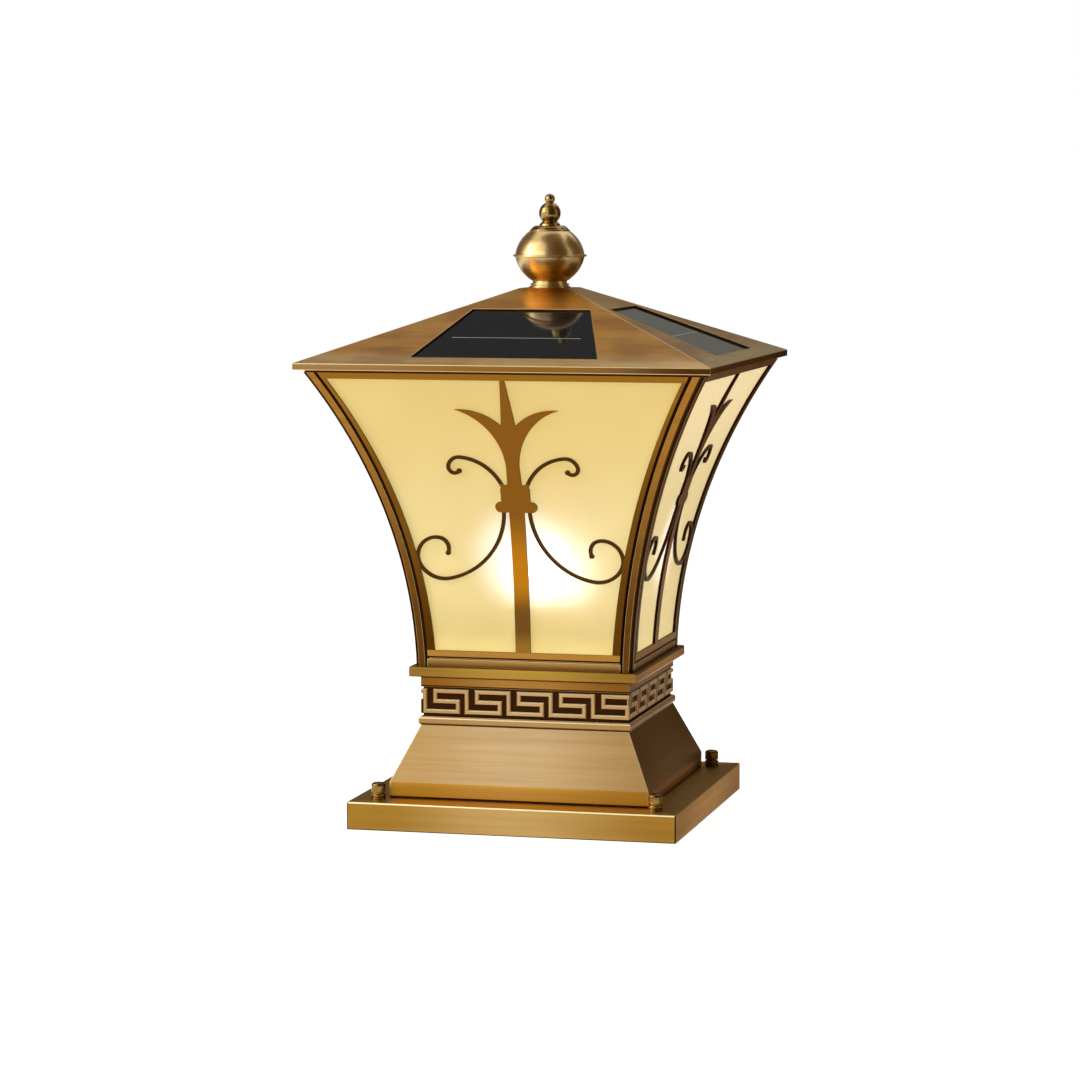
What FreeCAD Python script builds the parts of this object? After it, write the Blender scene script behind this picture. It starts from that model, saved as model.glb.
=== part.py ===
import FreeCAD, Part
import math
import os

import Sketcher
from FreeCAD import Placement, Rotation, Vector

# Pillar lantern with a flared body, a solar roof and a bulb on the tray.
# Millimetres, +Z up, origin on the pillar's top at the centre of the base.
# The front face looks along -Y. Sides are turned about Z: front, right, back, left.

SIZES = {
    # Base box, a folded sheet with an open underside
    "base_side": 241.0,
    "base_height": 20.0,
    "base_wall": 1.5,
    "base_foot_width": 8.0,
    "base_opening": 100.0,
    "base_edge_round": 0.8,
    # Anchor studs, washers and cap nuts at the corners
    "anchor_spacing": 204.0,
    "anchor_radius": 3.0,
    "anchor_thread_depth": 0.2,
    "anchor_thread_start": 1.0,
    "anchor_hole_gap": 0.3,
    "anchor_lift": 2.0,
    "washer_radius": 6.0,
    "washer_height": 1.6,
    "cap_nut_flats": 10.0,
    "cap_nut_hex_height": 5.2,
    "cap_nut_height": 12.0,
    "cap_nut_dome_radius": 4.8,
    "cap_nut_wall": 1.8,
    "thread_gap": 0.05,
    # Pedestal skirt
    "skirt_side": 191.2,
    "skirt_lip_height": 11.6,
    "skirt_rise": 39.7,
    "skirt_wall": 1.6,
    "skirt_flange": 9.5,
    # Neck band with its recessed frieze
    "neck_side": 154.2,
    "neck_wall": 3.0,
    "frieze_depth": 1.6,
    "frieze_height": 21.6,
    "frieze_foot": 6.1,
    "fascia_height": 7.9,
    "bead_proud": 1.5,
    "bead_height": 6.1,
    "bead_round": 2.2,
    # Raised key pattern
    "key_overlap": 1.8,
    "key_start": 2.9,
    "key_bar_width": 2.7,
    "key_bar_round": 0.7,
    "key_reach": 15.6,
    "key_foot_gap": 2.25,
    "key_seat_gap": 0.02,
    # Tray
    "tray_side": 168.8,
    "tray_height": 7.5,
    "tray_wall": 1.5,
    "tray_round": 1.4,
    # Flare of the four faces: one arc, seen from the side
    "flare_radius": 432.5,
    "flare_foot_half": 80.0,
    "flare_foot_drop": 12.4,
    "body_height": 214.6,
    # Corner posts, measured inwards from the flared faces
    "post_depth": 9.5,
    "post_notch": 2.5,
    "post_rib_end": 7.2,
    "post_groove_depth": 2.2,
    "post_flange_reach": 14.0,
    "post_flange_wall": 1.5,
    "post_lug_reach": 15.5,
    "post_lug_height": 2.5,
    # Window frames and their openings
    "frame_thickness": 2.0,
    "frame_edge_inset": 8.7,
    "window_inset": 15.0,
    "frame_foot_gap": 1.0,
    "window_foot_rail": 5.3,
    "window_head_rail": 4.4,
    # Sill bars
    "sill_height": 5.6,
    "sill_back_height": 7.6,
    # Panes
    "pane_thickness": 3.0,
    "pane_gap": 0.2,
    "pane_edge_inset": 9.8,
    "pane_top_gap": 1.4,
    # Lily of the ironwork: half widths, drops from the window's head, rises from the piece below
    "spike_tip_half": 1.5,
    "spike_root_half": 5.1,
    "spike_root_drop": 32.7,
    "leaf_tip_half": 37.8,
    "leaf_tip_drop": 21.2,
    "leaf_foot_half": 4.7,
    "leaf_foot_rise": 13.0,
    "waist_half": 5.2,
    "calyx_rise": 12.4,
    "calyx_mouth_half": 8.4,
    "calyx_half": 10.6,
    "calyx_shoulder": 3.0,
    "collar_height": 7.8,
    "collar_drop": 95.8,
    "collar_half": 15.3,
    "stem_half": 5.45,
    # Scrolls: width of the strip, arcs in order from the root
    "scroll_width": 2.6,
    "scroll_end_radius": 1.8,
    "upper_root_half": 7.75,
    "upper_root_rise": 15.7,
    "upper_sweep_radius": 34.3,
    "upper_curl_radius": 8.7,
    "upper_eye_radius": 4.35,
    "lower_root_half": 9.4,
    "lower_root_rise": 2.2,
    "lower_sweep_radius": 49.4,
    "lower_curl_radius": 21.2,
    "lower_turn_radius": 13.6,
    "lower_eye_radius": 8.3,
    # Top ring, crossbar and centre rod
    "ring_thickness": 1.7,
    "ring_setback": 1.5,
    "ring_width": 24.85974,
    "crossbar_length": 260.0,
    "crossbar_width": 20.0,
    "crossbar_thickness": 3.0,
    "rod_radius": 4.0,
    "rod_hole_gap": 0.3,
    "rod_tail": 10.0,
    "rod_rise": 34.4,
    "rod_nut_flats": 13.0,
    "rod_nut_height": 4.0,
    # Countersunk screws of ring, crossbar and lamp holder
    "screw_radius": 1.5,
    "screw_head_radius": 3.0,
    "screw_head_height": 1.6,
    "screw_length": 6.2,
    "screw_gap": 0.1,
    "ring_screw_inset": 7.4,
    "crossbar_screw_inset": 6.0,
    "crossbar_screw_spacing": 10.0,
    # Tie rods through base, skirt, neck, tray and post lugs
    "tie_spacing": 124.0,
    "tie_radius": 2.5,
    "tie_hole_gap": 0.3,
    "tie_tail": 1.5,
    "tie_nut_flats": 8.0,
    "tie_nut_height": 4.0,
    # Roof shell
    "roof_side": 300.0,
    "roof_lip_height": 4.8,
    "roof_rise": 50.1,
    "roof_flat_side": 37.2,
    "roof_wall": 1.5,
    "roof_seat_gap": 0.2,
    "soffit_thickness": 1.5,
    "soffit_rim_height": 2.0,
    # Solar panels, measured up the slope from the eave
    "panel_foot": 13.6,
    "panel_length": 88.0,
    "panel_foot_half": 67.2,
    "panel_head_half": 43.2,
    "panel_thickness": 3.0,
    "panel_margin": 4.0,
    "busbar_half": 47.0,
    "busbar_width": 0.8,
    "busbar_depth": 0.2,
    "busbar_height": 38.7,
    # Finial, turned about the centre rod
    "finial_gap": 0.3,
    "collar_foot_radius": 15.0,
    "collar_waist_radius": 13.4,
    "collar_ring_radius": 14.2,
    "collar_top_radius": 12.6,
    "collar_step": 1.2,
    "bowl_wall": 1.0,
    "bowl_foot_radius": 12.4,
    "bowl_rim_radius": 25.4,
    "bowl_height": 18.6,
    "bowl_round": 27.0,
    "bowl_flange": 1.5,
    "bowl_flange_height": 0.7,
    "dome_height": 17.2,
    "dome_round": 25.6,
    "dome_top_radius": 14.7,
    "top_rim_height": 0.9,
    "top_rim_inset": 0.7,
    "top_shoulder_height": 3.0,
    "top_shoulder_radius": 10.4,
    "top_shoulder_round": 7.0,
    "top_foot_radius": 7.6,
    "top_foot_height": 1.0,
    "top_neck_radius": 5.3,
    "top_neck_height": 2.2,
    "onion_height": 13.5,
    "stalk_radius": 2.5,
    "ball_radius": 3.7,
    "spigot_radius": 3.8,
    "spigot_length": 3.5,
    "bush_radius": 7.0,
    "bush_height": 11.7,
    # Light module under the roof
    "led_radius": 40.0,
    "led_wall": 1.5,
    "led_flange_radius": 46.0,
    "led_height": 14.5,
    "led_tube_radius": 9.0,
    "led_lift": 0.5,
    "led_board_thickness": 1.5,
    "led_fit_gap": 0.2,
    "led_chip_side": 5.0,
    "led_chip_height": 1.2,
    "led_chip_ring": 25.0,
    "led_diffuser_thickness": 2.0,
    # Battery and controller on the soffit
    "case_wall": 1.5,
    "battery_case_length": 78.0,
    "battery_case_width": 40.0,
    "battery_case_height": 20.4,
    "battery_case_start": 48.0,
    "cell_radius": 9.1,
    "cell_length": 65.0,
    "cell_spacing": 18.4,
    "controller_length": 66.0,
    "controller_width": 38.0,
    "controller_height": 18.0,
    "controller_start": 48.0,
    "board_thickness": 1.6,
    "board_margin": 0.6,
    # Mode switch and button
    "switch_place": 66.0,
    "switch_side": 14.0,
    "switch_height": 9.0,
    "button_radius": 4.0,
    "button_gap": 0.3,
    "button_proud": 2.5,
    "button_length": 8.3,
    "button_flange_radius": 5.2,
    "button_flange_height": 1.0,
    "button_travel": 1.5,
    "button_seat_gap": 0.2,
    # Leads
    "lead_radius": 1.2,
    "lead_bend": 6.0,
    "lead_floor_gap": 0.3,
    "lead_lane": 12.0,
    "panel_lead_place": 50.0,
    "mains_lead_radius": 2.6,
    "mains_lead_bend": 8.0,
    "mains_lead_drop": 21.0,
    "mains_lead_place": 30.0,
    # Lamp holder on the tray
    "holder_radius": 19.5,
    "holder_hole_gap": 0.5,
    "holder_drop": 32.4,
    "holder_rise": 11.6,
    "holder_flange_radius": 28.0,
    "holder_flange_height": 4.0,
    "holder_floor": 15.0,
    "holder_screw_place": 24.0,
    "shell_wall": 0.5,
    "shell_gap": 0.3,
    "shell_lift": 3.0,
    "shell_length": 24.0,
    "contact_radius": 3.0,
    "contact_height": 1.9,
    # Bulb
    "bulb_cap_radius": 13.1,
    "bulb_cap_height": 28.0,
    "bulb_lift": 0.1,
    "bulb_tip_radius": 4.5,
    "bulb_tip_height": 2.0,
    "bulb_cap_taper": 4.0,
    "bulb_housing_height": 30.0,
    "bulb_housing_foot_radius": 14.0,
    "bulb_housing_head_radius": 25.4,
    "bulb_housing_round": 60.0,
    "bulb_radius": 30.0,
    "bulb_wall": 1.2,
    # Junction box under the tray
    "box_start": 22.0,
    "box_length": 40.0,
    "box_width": 50.0,
    "box_height": 22.9,
    "box_wall": 1.6,
    "lid_thickness": 2.0,
    "terminal_length": 30.0,
    "terminal_width": 38.0,
    "terminal_height": 10.0,
    "gland_place": 44.0,
    "gland_bore": 4.0,
    "gland_radius": 8.5,
    "gland_flange_radius": 10.5,
    "gland_flange_height": 2.0,
    "gland_thread_radius": 6.5,
    "gland_thread_height": 5.0,
    "gland_length": 16.0,
    "gland_gap": 0.2,
    # Reach of every cutting tool past the solid that it cuts
    "overrun": 1.0,
}

SIDES = ("front", "right", "back", "left")
QUARTER_DEG = 90
PARTS_FOLDER = "parts"

# Centre lines of one key unit, as shares of the period and of the reach
KEY_SHORT_SHARE = 0.245
KEY_LONG_SHARE = 0.79
KEY_MIDDLE_SHARE = 0.5
KEY_UNITS = 5

# Radii of free arcs, as shares of the straight line between their ends
LEAF_UPPER_SHARE = 1.183
LEAF_LOWER_SHARE = 0.849
ONION_SHARE = 0.58

# Turns of the scroll arcs, in degrees, from the root to the eye
UPPER_START_DEG = 107
UPPER_TURNS_DEG = (69, 76, 160)
LOWER_START_DEG = -90
LOWER_TURNS_DEG = (-83, -65, -138, -98)

LED_CHIPS = 12
HEX_SIDES = 6

doc = FreeCAD.newDocument("pillar_light")
sheet = doc.addObject("Spreadsheet::Sheet", "sizes")
for line, (title, amount) in enumerate(SIZES.items(), start=1):
    sheet.set(f"A{line}", title)
    sheet.set(f"B{line}", str(amount))
    sheet.setAlias(f"B{line}", title)
doc.recompute()


class Size:
    """A length that carries its value and its formula over the sheet's cells."""

    def __init__(self, value, formula):
        self.value = value
        self.formula = formula

    def __add__(self, other):
        return Size(self.value + number(other), f"({self.formula} + {wording(other)})")

    def __radd__(self, other):
        return Size(number(other) + self.value, f"({wording(other)} + {self.formula})")

    def __sub__(self, other):
        return Size(self.value - number(other), f"({self.formula} - {wording(other)})")

    def __rsub__(self, other):
        return Size(number(other) - self.value, f"({wording(other)} - {self.formula})")

    def __mul__(self, other):
        return Size(self.value * number(other), f"({self.formula} * {wording(other)})")

    def __rmul__(self, other):
        return Size(number(other) * self.value, f"({wording(other)} * {self.formula})")

    def __truediv__(self, other):
        return Size(self.value / number(other), f"({self.formula} / {wording(other)})")

    def __neg__(self):
        return Size(-self.value, f"(0 - {self.formula})")


class Cells:
    """The sheet's cells as sizes, by name."""

    def __getattr__(self, title):
        return Size(float(getattr(sheet, title)), "sizes." + title)


def number(amount):
    return amount.value if isinstance(amount, Size) else float(amount)


def wording(amount):
    return amount.formula if isinstance(amount, Size) else repr(float(amount))


def root(amount):
    return Size(math.sqrt(amount.value), f"sqrt({amount.formula})")


d = Cells()
pieces = []


# Helpers for single solids

def bind(item, prop, amount):
    """Ties one property of an object to its formula."""
    if isinstance(amount, Size):
        item.setExpression(prop, amount.formula)


def place(item, spot, turn=None):
    """Puts an object at a spot, each coordinate tied to its formula."""
    item.Placement = Placement(Vector(*(number(c) for c in spot)), turn or Rotation())
    for axis, amount in zip("xyz", spot):
        bind(item, "Placement.Base." + axis, amount)
    return item


def box(name, low, high):
    item = doc.addObject("Part::Box", name)
    for prop, start, end in zip(("Length", "Width", "Height"), low, high):
        bind(item, prop, end - start)
    return place(item, low)


def slab(name, half, foot, head):
    """A square plate centred on the axis."""
    return box(name, (-half, -half, foot), (half, half, head))


def cylinder(name, radius, foot, length, along="Z"):
    turns = {
        "X": Rotation(Vector(0, 0, 1), Vector(1, 0, 0)),
        "Y": Rotation(Vector(0, 0, 1), Vector(0, 1, 0)),
        "Z": Rotation(),
    }
    item = doc.addObject("Part::Cylinder", name)
    bind(item, "Radius", radius)
    bind(item, "Height", length)
    return place(item, foot, turns[along])


def frustum(name, foot_half, head_half, foot, head):
    """A square pyramid stump that stands on the plane at its foot."""
    item = doc.addObject("Part::Wedge", name)
    for prop, half in (("max", foot_half), ("2max", head_half)):
        for axis in "XZ":
            bind(item, axis + prop, half)
            bind(item, axis + prop.replace("max", "min"), -half)
    item.Ymin = 0
    bind(item, "Ymax", head - foot)
    return place(item, (0, 0, foot), Rotation(Vector(1, 0, 0), 90))


def prism(name, flats, foot, head, spot=(0, 0)):
    """A hexagonal bar, its size given across the flats."""
    item = doc.addObject("Part::Prism", name)
    item.Polygon = HEX_SIDES
    bind(item, "Circumradius", flats / math.sqrt(3))
    bind(item, "Height", head - foot)
    return place(item, (spot[0], spot[1], foot))


def fuse(name, *items):
    item = doc.addObject("Part::MultiFuse", name)
    item.Shapes = list(items)
    item.Refine = True
    return item


def cut(name, base, *tools):
    item = doc.addObject("Part::Cut", name)
    item.Base = base
    item.Tool = tools[0] if len(tools) == 1 else fuse(name + "_tools", *tools)
    return item


def common(name, *items):
    item = doc.addObject("Part::MultiCommon", name)
    item.Shapes = list(items)
    return item


def bundle(name, *items):
    """Holds objects together, unchanged, under one placement."""
    item = doc.addObject("Part::Compound", name)
    item.Links = list(items)
    return item


def group(name, items):
    """Separate solids that share one node."""
    return piece(bundle(name, *items))


def piece(item):
    """Marks an object as a sub-part; its label names its file."""
    pieces.append(item)
    return item


def quarter(item, turns):
    """Turns a finished object about the axis by quarter turns."""
    item.Placement = Placement(Vector(), Rotation(Vector(0, 0, 1), QUARTER_DEG * turns))
    return item


def corner_spots(half):
    return [(x * half, y * half) for x, y in ((1, -1), (1, 1), (-1, 1), (-1, -1))]


# Helpers for sketched bodies

def origin_plane(body, role):
    return next(item for item in body.Origin.OriginFeatures if item.Role == role)


def chord(start, stop):
    """Length of the straight line between two corners of an outline."""
    across = stop[0] - start[0]
    up = stop[1] - start[1]
    return root(across * across + up * up)


def arc_between(start, stop, radius):
    """The short arc from start to stop; a negative radius turns clockwise."""
    line = stop - start
    middle = (start + stop) * 0.5
    reach = math.sqrt(max(radius * radius - line.Length * line.Length / 4, 0))
    side = Vector(-line.y, line.x, 0).normalize() * math.copysign(reach, radius)
    centre = middle + side
    ends = (start, stop) if radius > 0 else (stop, start)
    angles = [math.atan2(end.y - centre.y, end.x - centre.x) for end in ends]
    circle = Part.Circle(centre, Vector(0, 0, 1), abs(radius))
    return Part.ArcOfCircle(circle, angles[0], angles[1])


def draw(sketch, outline):
    """Draws a closed outline of (x, y) corners; a third item is the radius of the arc that follows."""
    first = len(sketch.Geometry)
    spots = [Vector(number(corner[0]), number(corner[1]), 0) for corner in outline]
    count = len(outline)
    edges = []
    ends = []
    for index, corner in enumerate(outline):
        start = spots[index]
        stop = spots[(index + 1) % count]
        if len(corner) == 3:
            edges.append(arc_between(start, stop, number(corner[2])))
            ends.append((1, 2) if number(corner[2]) > 0 else (2, 1))
        else:
            edges.append(Part.LineSegment(start, stop))
            ends.append((1, 2))
    sketch.addGeometry(edges, False)
    ties = []
    for index, corner in enumerate(outline):
        here = first + index
        before = first + (index - 1) % count
        spot = ends[index][0]
        sketch.addConstraint(Sketcher.Constraint("Coincident", before, ends[index - 1][1], here, spot))
        for kind, amount, axis in (("DistanceX", corner[0], -2), ("DistanceY", corner[1], -1)):
            if isinstance(amount, Size):
                tie = Sketcher.Constraint(kind, -1, 1, here, spot, number(amount))
                ties.append((sketch.addConstraint(tie), amount))
            else:
                sketch.addConstraint(Sketcher.Constraint("PointOnObject", here, spot, axis))
        if len(corner) == 3:
            size = corner[2] if number(corner[2]) > 0 else -corner[2]
            tie = Sketcher.Constraint("Radius", here, number(size))
            ties.append((sketch.addConstraint(tie), size))
    for index, amount in ties:
        sketch.setExpression(f"Constraints[{index}]", amount.formula)


def sketched(name, role, outlines, lift=None):
    """A body with one sketch on an origin plane, lifted off it if asked."""
    body = doc.addObject("PartDesign::Body", name)
    sketch = body.newObject("Sketcher::SketchObject", name + "_outline")
    sketch.AttachmentSupport = (origin_plane(body, role), [""])
    sketch.MapMode = "FlatFace"
    if lift is not None:
        sketch.AttachmentOffset = Placement(Vector(0, 0, number(lift)), Rotation())
        bind(sketch, "AttachmentOffset.Base.z", lift)
    for outline in outlines:
        draw(sketch, outline)
    doc.recompute()
    return body, sketch


def turned(name, outline):
    """A solid turned about Z from an outline of (radius, height) corners."""
    body, sketch = sketched(name, "XZ_Plane", [outline])
    spin = body.newObject("PartDesign::Revolution", name + "_spin")
    spin.Profile = sketch
    spin.ReferenceAxis = (sketch, ["V_Axis"])
    spin.Angle = 360
    body.Tip = spin
    doc.recompute()
    return body


def padded(name, role, outlines, height, lift=None):
    body, sketch = sketched(name, role, outlines, lift)
    pad = body.newObject("PartDesign::Pad", name + "_pad")
    pad.Profile = sketch
    bind(pad, "Length", height)
    body.Tip = pad
    doc.recompute()
    return body


def square(half):
    return [(-half, -half), (half, -half), (half, half), (-half, half)]


def rounded_slab(name, half, foot, head, radius, chosen):
    """A square plate with the chosen edges rounded."""
    body = padded(name, "XY_Plane", [square(half)], head - foot, foot)
    solid = body.Tip
    names = [f"Edge{n}" for n, edge in enumerate(solid.Shape.Edges, start=1) if chosen(edge)]
    rounds = body.newObject("PartDesign::Fillet", name + "_rounds")
    rounds.Base = (solid, names)
    bind(rounds, "Radius", radius)
    body.Tip = rounds
    doc.recompute()
    return body


def is_level(edge):
    low = edge.BoundBox
    return low.ZLength < low.DiagonalLength / 2


# Heights that several pieces share

base_half = d.base_side / 2
skirt_half = d.skirt_side / 2
neck_half = d.neck_side / 2
tray_half = d.tray_side / 2
roof_half = d.roof_side / 2
roof_flat_half = d.roof_flat_side / 2

skirt_foot = d.base_height
skirt_shoulder = skirt_foot + d.skirt_lip_height
neck_foot = skirt_shoulder + d.skirt_rise
frieze_foot = neck_foot + d.frieze_foot
frieze_head = frieze_foot + d.frieze_height
tray_foot = frieze_head + d.fascia_height
tray_head = tray_foot + d.tray_height
tray_under = tray_head - d.tray_wall
neck_head = tray_under
post_top = tray_head + d.body_height
frame_foot = tray_head + d.sill_height + d.frame_foot_gap
window_foot = frame_foot + d.window_foot_rail
window_top = post_top - d.window_head_rail
roof_foot = post_top + d.ring_thickness
eave = roof_foot + d.roof_lip_height
roof_head = eave + d.roof_rise
soffit_head = roof_foot + d.soffit_thickness
anchor_half = d.anchor_spacing / 2
tie_half = d.tie_spacing / 2


# The flare: every face is a stretch of a cylinder whose axis is level and outside the body

flare_axis_out = d.flare_foot_half + d.flare_radius
flare_foot = tray_head - d.flare_foot_drop


def flare_half(height):
    """Half width of the body at a height, over the flared faces."""
    rise = height - flare_foot
    return flare_axis_out - root(d.flare_radius * d.flare_radius - rise * rise)


flare_top_half = flare_half(post_top)
flare_bottom_half = flare_half(tray_head)
flare_reach = flare_top_half + d.overrun


def face_drum(name, side, inset):
    """The drum that fills everything outside the face, moved inwards by an inset."""
    spots = {
        "front": ("X", (-flare_reach, -flare_axis_out, flare_foot)),
        "back": ("X", (-flare_reach, flare_axis_out, flare_foot)),
        "right": ("Y", (flare_axis_out, -flare_reach, flare_foot)),
        "left": ("Y", (-flare_axis_out, -flare_reach, flare_foot)),
    }
    along, spot = spots[side]
    return cylinder(name, d.flare_radius + inset, spot, 2 * flare_reach, along)


# Base box

def make_base_box():
    blank = rounded_slab("base_blank", base_half, 0 * d.base_height, d.base_height,
                         d.base_edge_round, lambda edge: edge.CenterOfMass.z > d.base_wall.value)
    inner_half = base_half - d.base_wall
    inside = slab("base_inside", inner_half, d.base_wall, d.base_height - d.base_wall)
    foot_half = inner_half - d.base_foot_width + d.base_wall
    mouth = slab("base_mouth", foot_half, -d.overrun, d.base_wall + d.overrun)
    opening = slab("base_top_opening", d.base_opening / 2, d.base_wall, d.base_height + d.overrun)
    holes = []
    for index, (x, y) in enumerate(corner_spots(anchor_half)):
        radius = d.anchor_radius + d.anchor_hole_gap
        holes.append(cylinder(f"base_anchor_hole_{index}", radius, (x, y, d.base_wall), d.base_height))
    for index, (x, y) in enumerate(corner_spots(tie_half)):
        radius = d.tie_radius + d.tie_hole_gap
        holes.append(cylinder(f"base_tie_hole_{index}", radius, (x, y, d.base_wall), d.base_height))
    piece(cut("base_box", blank, inside, mouth, opening, *holes))


def make_anchors():
    studs = []
    washers = []
    nuts = []
    thread_radius = d.anchor_radius - d.anchor_thread_depth
    thread_foot = d.base_height - d.base_wall - d.anchor_thread_start
    washer_head = d.base_height + d.washer_height
    nut_head = washer_head + d.cap_nut_height
    bore_head = nut_head - d.cap_nut_wall - d.thread_gap
    shoulder = washer_head + d.cap_nut_hex_height
    dome_centre = nut_head - d.cap_nut_dome_radius
    for index, (x, y) in enumerate(corner_spots(anchor_half)):
        shank = cylinder(f"anchor_shank_{index}", d.anchor_radius, (x, y, d.anchor_lift),
                         thread_foot - d.anchor_lift)
        thread = cylinder(f"anchor_thread_{index}", thread_radius, (x, y, d.anchor_lift),
                          bore_head - d.thread_gap - d.anchor_lift)
        studs.append(fuse(f"anchor_stud_{index}", shank, thread))
        disc = cylinder(f"washer_disc_{index}", d.washer_radius, (x, y, d.base_height), d.washer_height)
        hole = cylinder(f"washer_hole_{index}", d.anchor_radius + d.anchor_hole_gap,
                        (x, y, d.base_height - d.overrun), d.washer_height + 2 * d.overrun)
        washers.append(cut(f"washer_{index}", disc, hole))
        hexagon = prism(f"cap_nut_hex_{index}", d.cap_nut_flats, washer_head, shoulder, (x, y))
        neck = cylinder(f"cap_nut_neck_{index}", d.cap_nut_dome_radius, (x, y, washer_head),
                        dome_centre - washer_head)
        dome = doc.addObject("Part::Sphere", f"cap_nut_dome_{index}")
        bind(dome, "Radius", d.cap_nut_dome_radius)
        place(dome, (x, y, dome_centre))
        bore = cylinder(f"cap_nut_bore_{index}", thread_radius + d.thread_gap,
                        (x, y, washer_head - d.overrun), bore_head - washer_head + d.overrun)
        solid = fuse(f"cap_nut_solid_{index}", hexagon, neck, dome)
        nuts.append(cut(f"cap_nut_{index}", solid, bore))
    group("anchor_studs", studs)
    group("flat_washers", washers)
    group("cap_nuts", nuts)


def make_tie_rods():
    rods = []
    nuts = []
    plate_foot = d.base_height - d.base_wall
    lug_head = tray_head + d.post_lug_height
    foot = plate_foot - d.tie_nut_height - d.tie_tail
    head = lug_head + d.tie_nut_height + d.tie_tail
    for index, (x, y) in enumerate(corner_spots(tie_half)):
        rods.append(cylinder(f"tie_rod_{index}", d.tie_radius, (x, y, foot), head - foot))
        for level, low in (("lower", plate_foot - d.tie_nut_height), ("upper", lug_head)):
            name = f"tie_nut_{level}_{index}"
            high = low + d.tie_nut_height
            hexagon = prism(name + "_hex", d.tie_nut_flats, low, high, (x, y))
            bore = cylinder(name + "_bore", d.tie_radius + d.thread_gap,
                            (x, y, low - d.overrun), d.tie_nut_height + 2 * d.overrun)
            nuts.append(cut(name, hexagon, bore))
    group("tie_rods", rods)
    group("tie_nuts", nuts)


# Pedestal skirt, neck band and tray

def make_skirt():
    lip = slab("skirt_lip", skirt_half, skirt_foot, skirt_shoulder)
    slope = frustum("skirt_slope", skirt_half, neck_half, skirt_shoulder, neck_foot)
    inner_head = neck_foot - d.skirt_wall
    run_share = (skirt_half - neck_half) / (neck_foot - skirt_shoulder)
    inner_half = skirt_half - d.skirt_wall
    inner_head_half = inner_half - run_share * (inner_head - skirt_shoulder)
    lip_inside = slab("skirt_lip_inside", inner_half, skirt_foot - d.overrun, skirt_shoulder)
    slope_inside = frustum("skirt_slope_inside", inner_half, inner_head_half, skirt_shoulder, inner_head)
    mouth = slab("skirt_mouth", neck_half - d.skirt_wall - d.skirt_flange,
                 skirt_shoulder, neck_foot + d.overrun)
    shell = fuse("skirt_blank", lip, slope)
    piece(cut("pedestal_skirt", shell, lip_inside, slope_inside, mouth))


def make_neck():
    blank = slab("neck_blank", neck_half, neck_foot, neck_head)
    inside = slab("neck_inside", neck_half - d.neck_wall, neck_foot - d.overrun, neck_head + d.overrun)
    ring = slab("frieze_ring", neck_half + d.overrun, frieze_foot, frieze_head)
    core = slab("frieze_core", neck_half - d.frieze_depth, frieze_foot - d.overrun, frieze_head + d.overrun)
    recess = cut("frieze_recess", ring, core)
    bead_half = neck_half + d.bead_proud
    bead = rounded_slab("neck_bead", bead_half, neck_foot, neck_foot + d.bead_height,
                        d.bead_round, is_level)
    piece(cut("neck_band", fuse("neck_solid", blank, bead), inside, recess))


def key_bars(side):
    """The bars of one face's key, as (x low, z low, x high, z high) in sizes."""
    low = frieze_foot + d.key_foot_gap
    high = low + d.key_reach
    middle = low + d.key_reach * KEY_MIDDLE_SHARE
    half = d.key_bar_width / 2
    period = (d.neck_side + d.key_overlap) / KEY_UNITS
    bars = [(-neck_half, high - half, -neck_half + d.key_start + half, high + half)]
    for unit in range(KEY_UNITS):
        start = d.key_start - neck_half + unit * period
        short = start + period * KEY_SHORT_SHARE
        long = start + period * KEY_LONG_SHARE
        last = unit == KEY_UNITS - 1
        stop = neck_half - half if last else long
        end = neck_half if last else start + period + half
        bars.append((start - half, low - half, start + half, high + half))
        bars.append((start - half, low - half, stop + half, low + half))
        bars.append((stop - half, low - half, stop + half, middle + half))
        bars.append((short - half, middle - half, stop + half, middle + half))
        bars.append((short - half, middle - half, short + half, high + half))
        bars.append((short - half, high - half, end, high + half))
    return bars


def make_key_strips():
    floor = neck_half - d.frieze_depth + d.key_seat_gap
    blocks = []
    for index, (x_low, z_low, x_high, z_high) in enumerate(key_bars("front")):
        blocks.append(box(f"key_bar_{index}", (x_low, -neck_half, z_low), (x_high, -floor, z_high)))
    strip = fuse("key_strip_blank", *blocks)
    doc.recompute()
    face = -neck_half.value
    edges = []
    for index, edge in enumerate(strip.Shape.Edges, start=1):
        limits = edge.BoundBox
        at_face = abs(limits.YMin - face) < d.key_seat_gap.value and limits.YLength < d.key_seat_gap.value
        at_end = abs(abs(edge.CenterOfMass.x) - neck_half.value) < d.key_seat_gap.value
        if at_face and not at_end:
            edges.append((index, d.key_bar_round.value, d.key_bar_round.value))
    soft = doc.addObject("Part::Chamfer", "key_strip_soft")
    soft.Base = strip
    soft.Edges = edges
    mitre = padded("key_mitre", "XY_Plane",
                   [[(0, 0), (-neck_half - d.overrun, -neck_half - d.overrun),
                     (neck_half + d.overrun, -neck_half - d.overrun)]],
                   d.frieze_height, frieze_foot)
    strips = [quarter(common(f"key_strip_{side}", soft, mitre), turn) for turn, side in enumerate(SIDES)]
    group("key_strips", strips)


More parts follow.
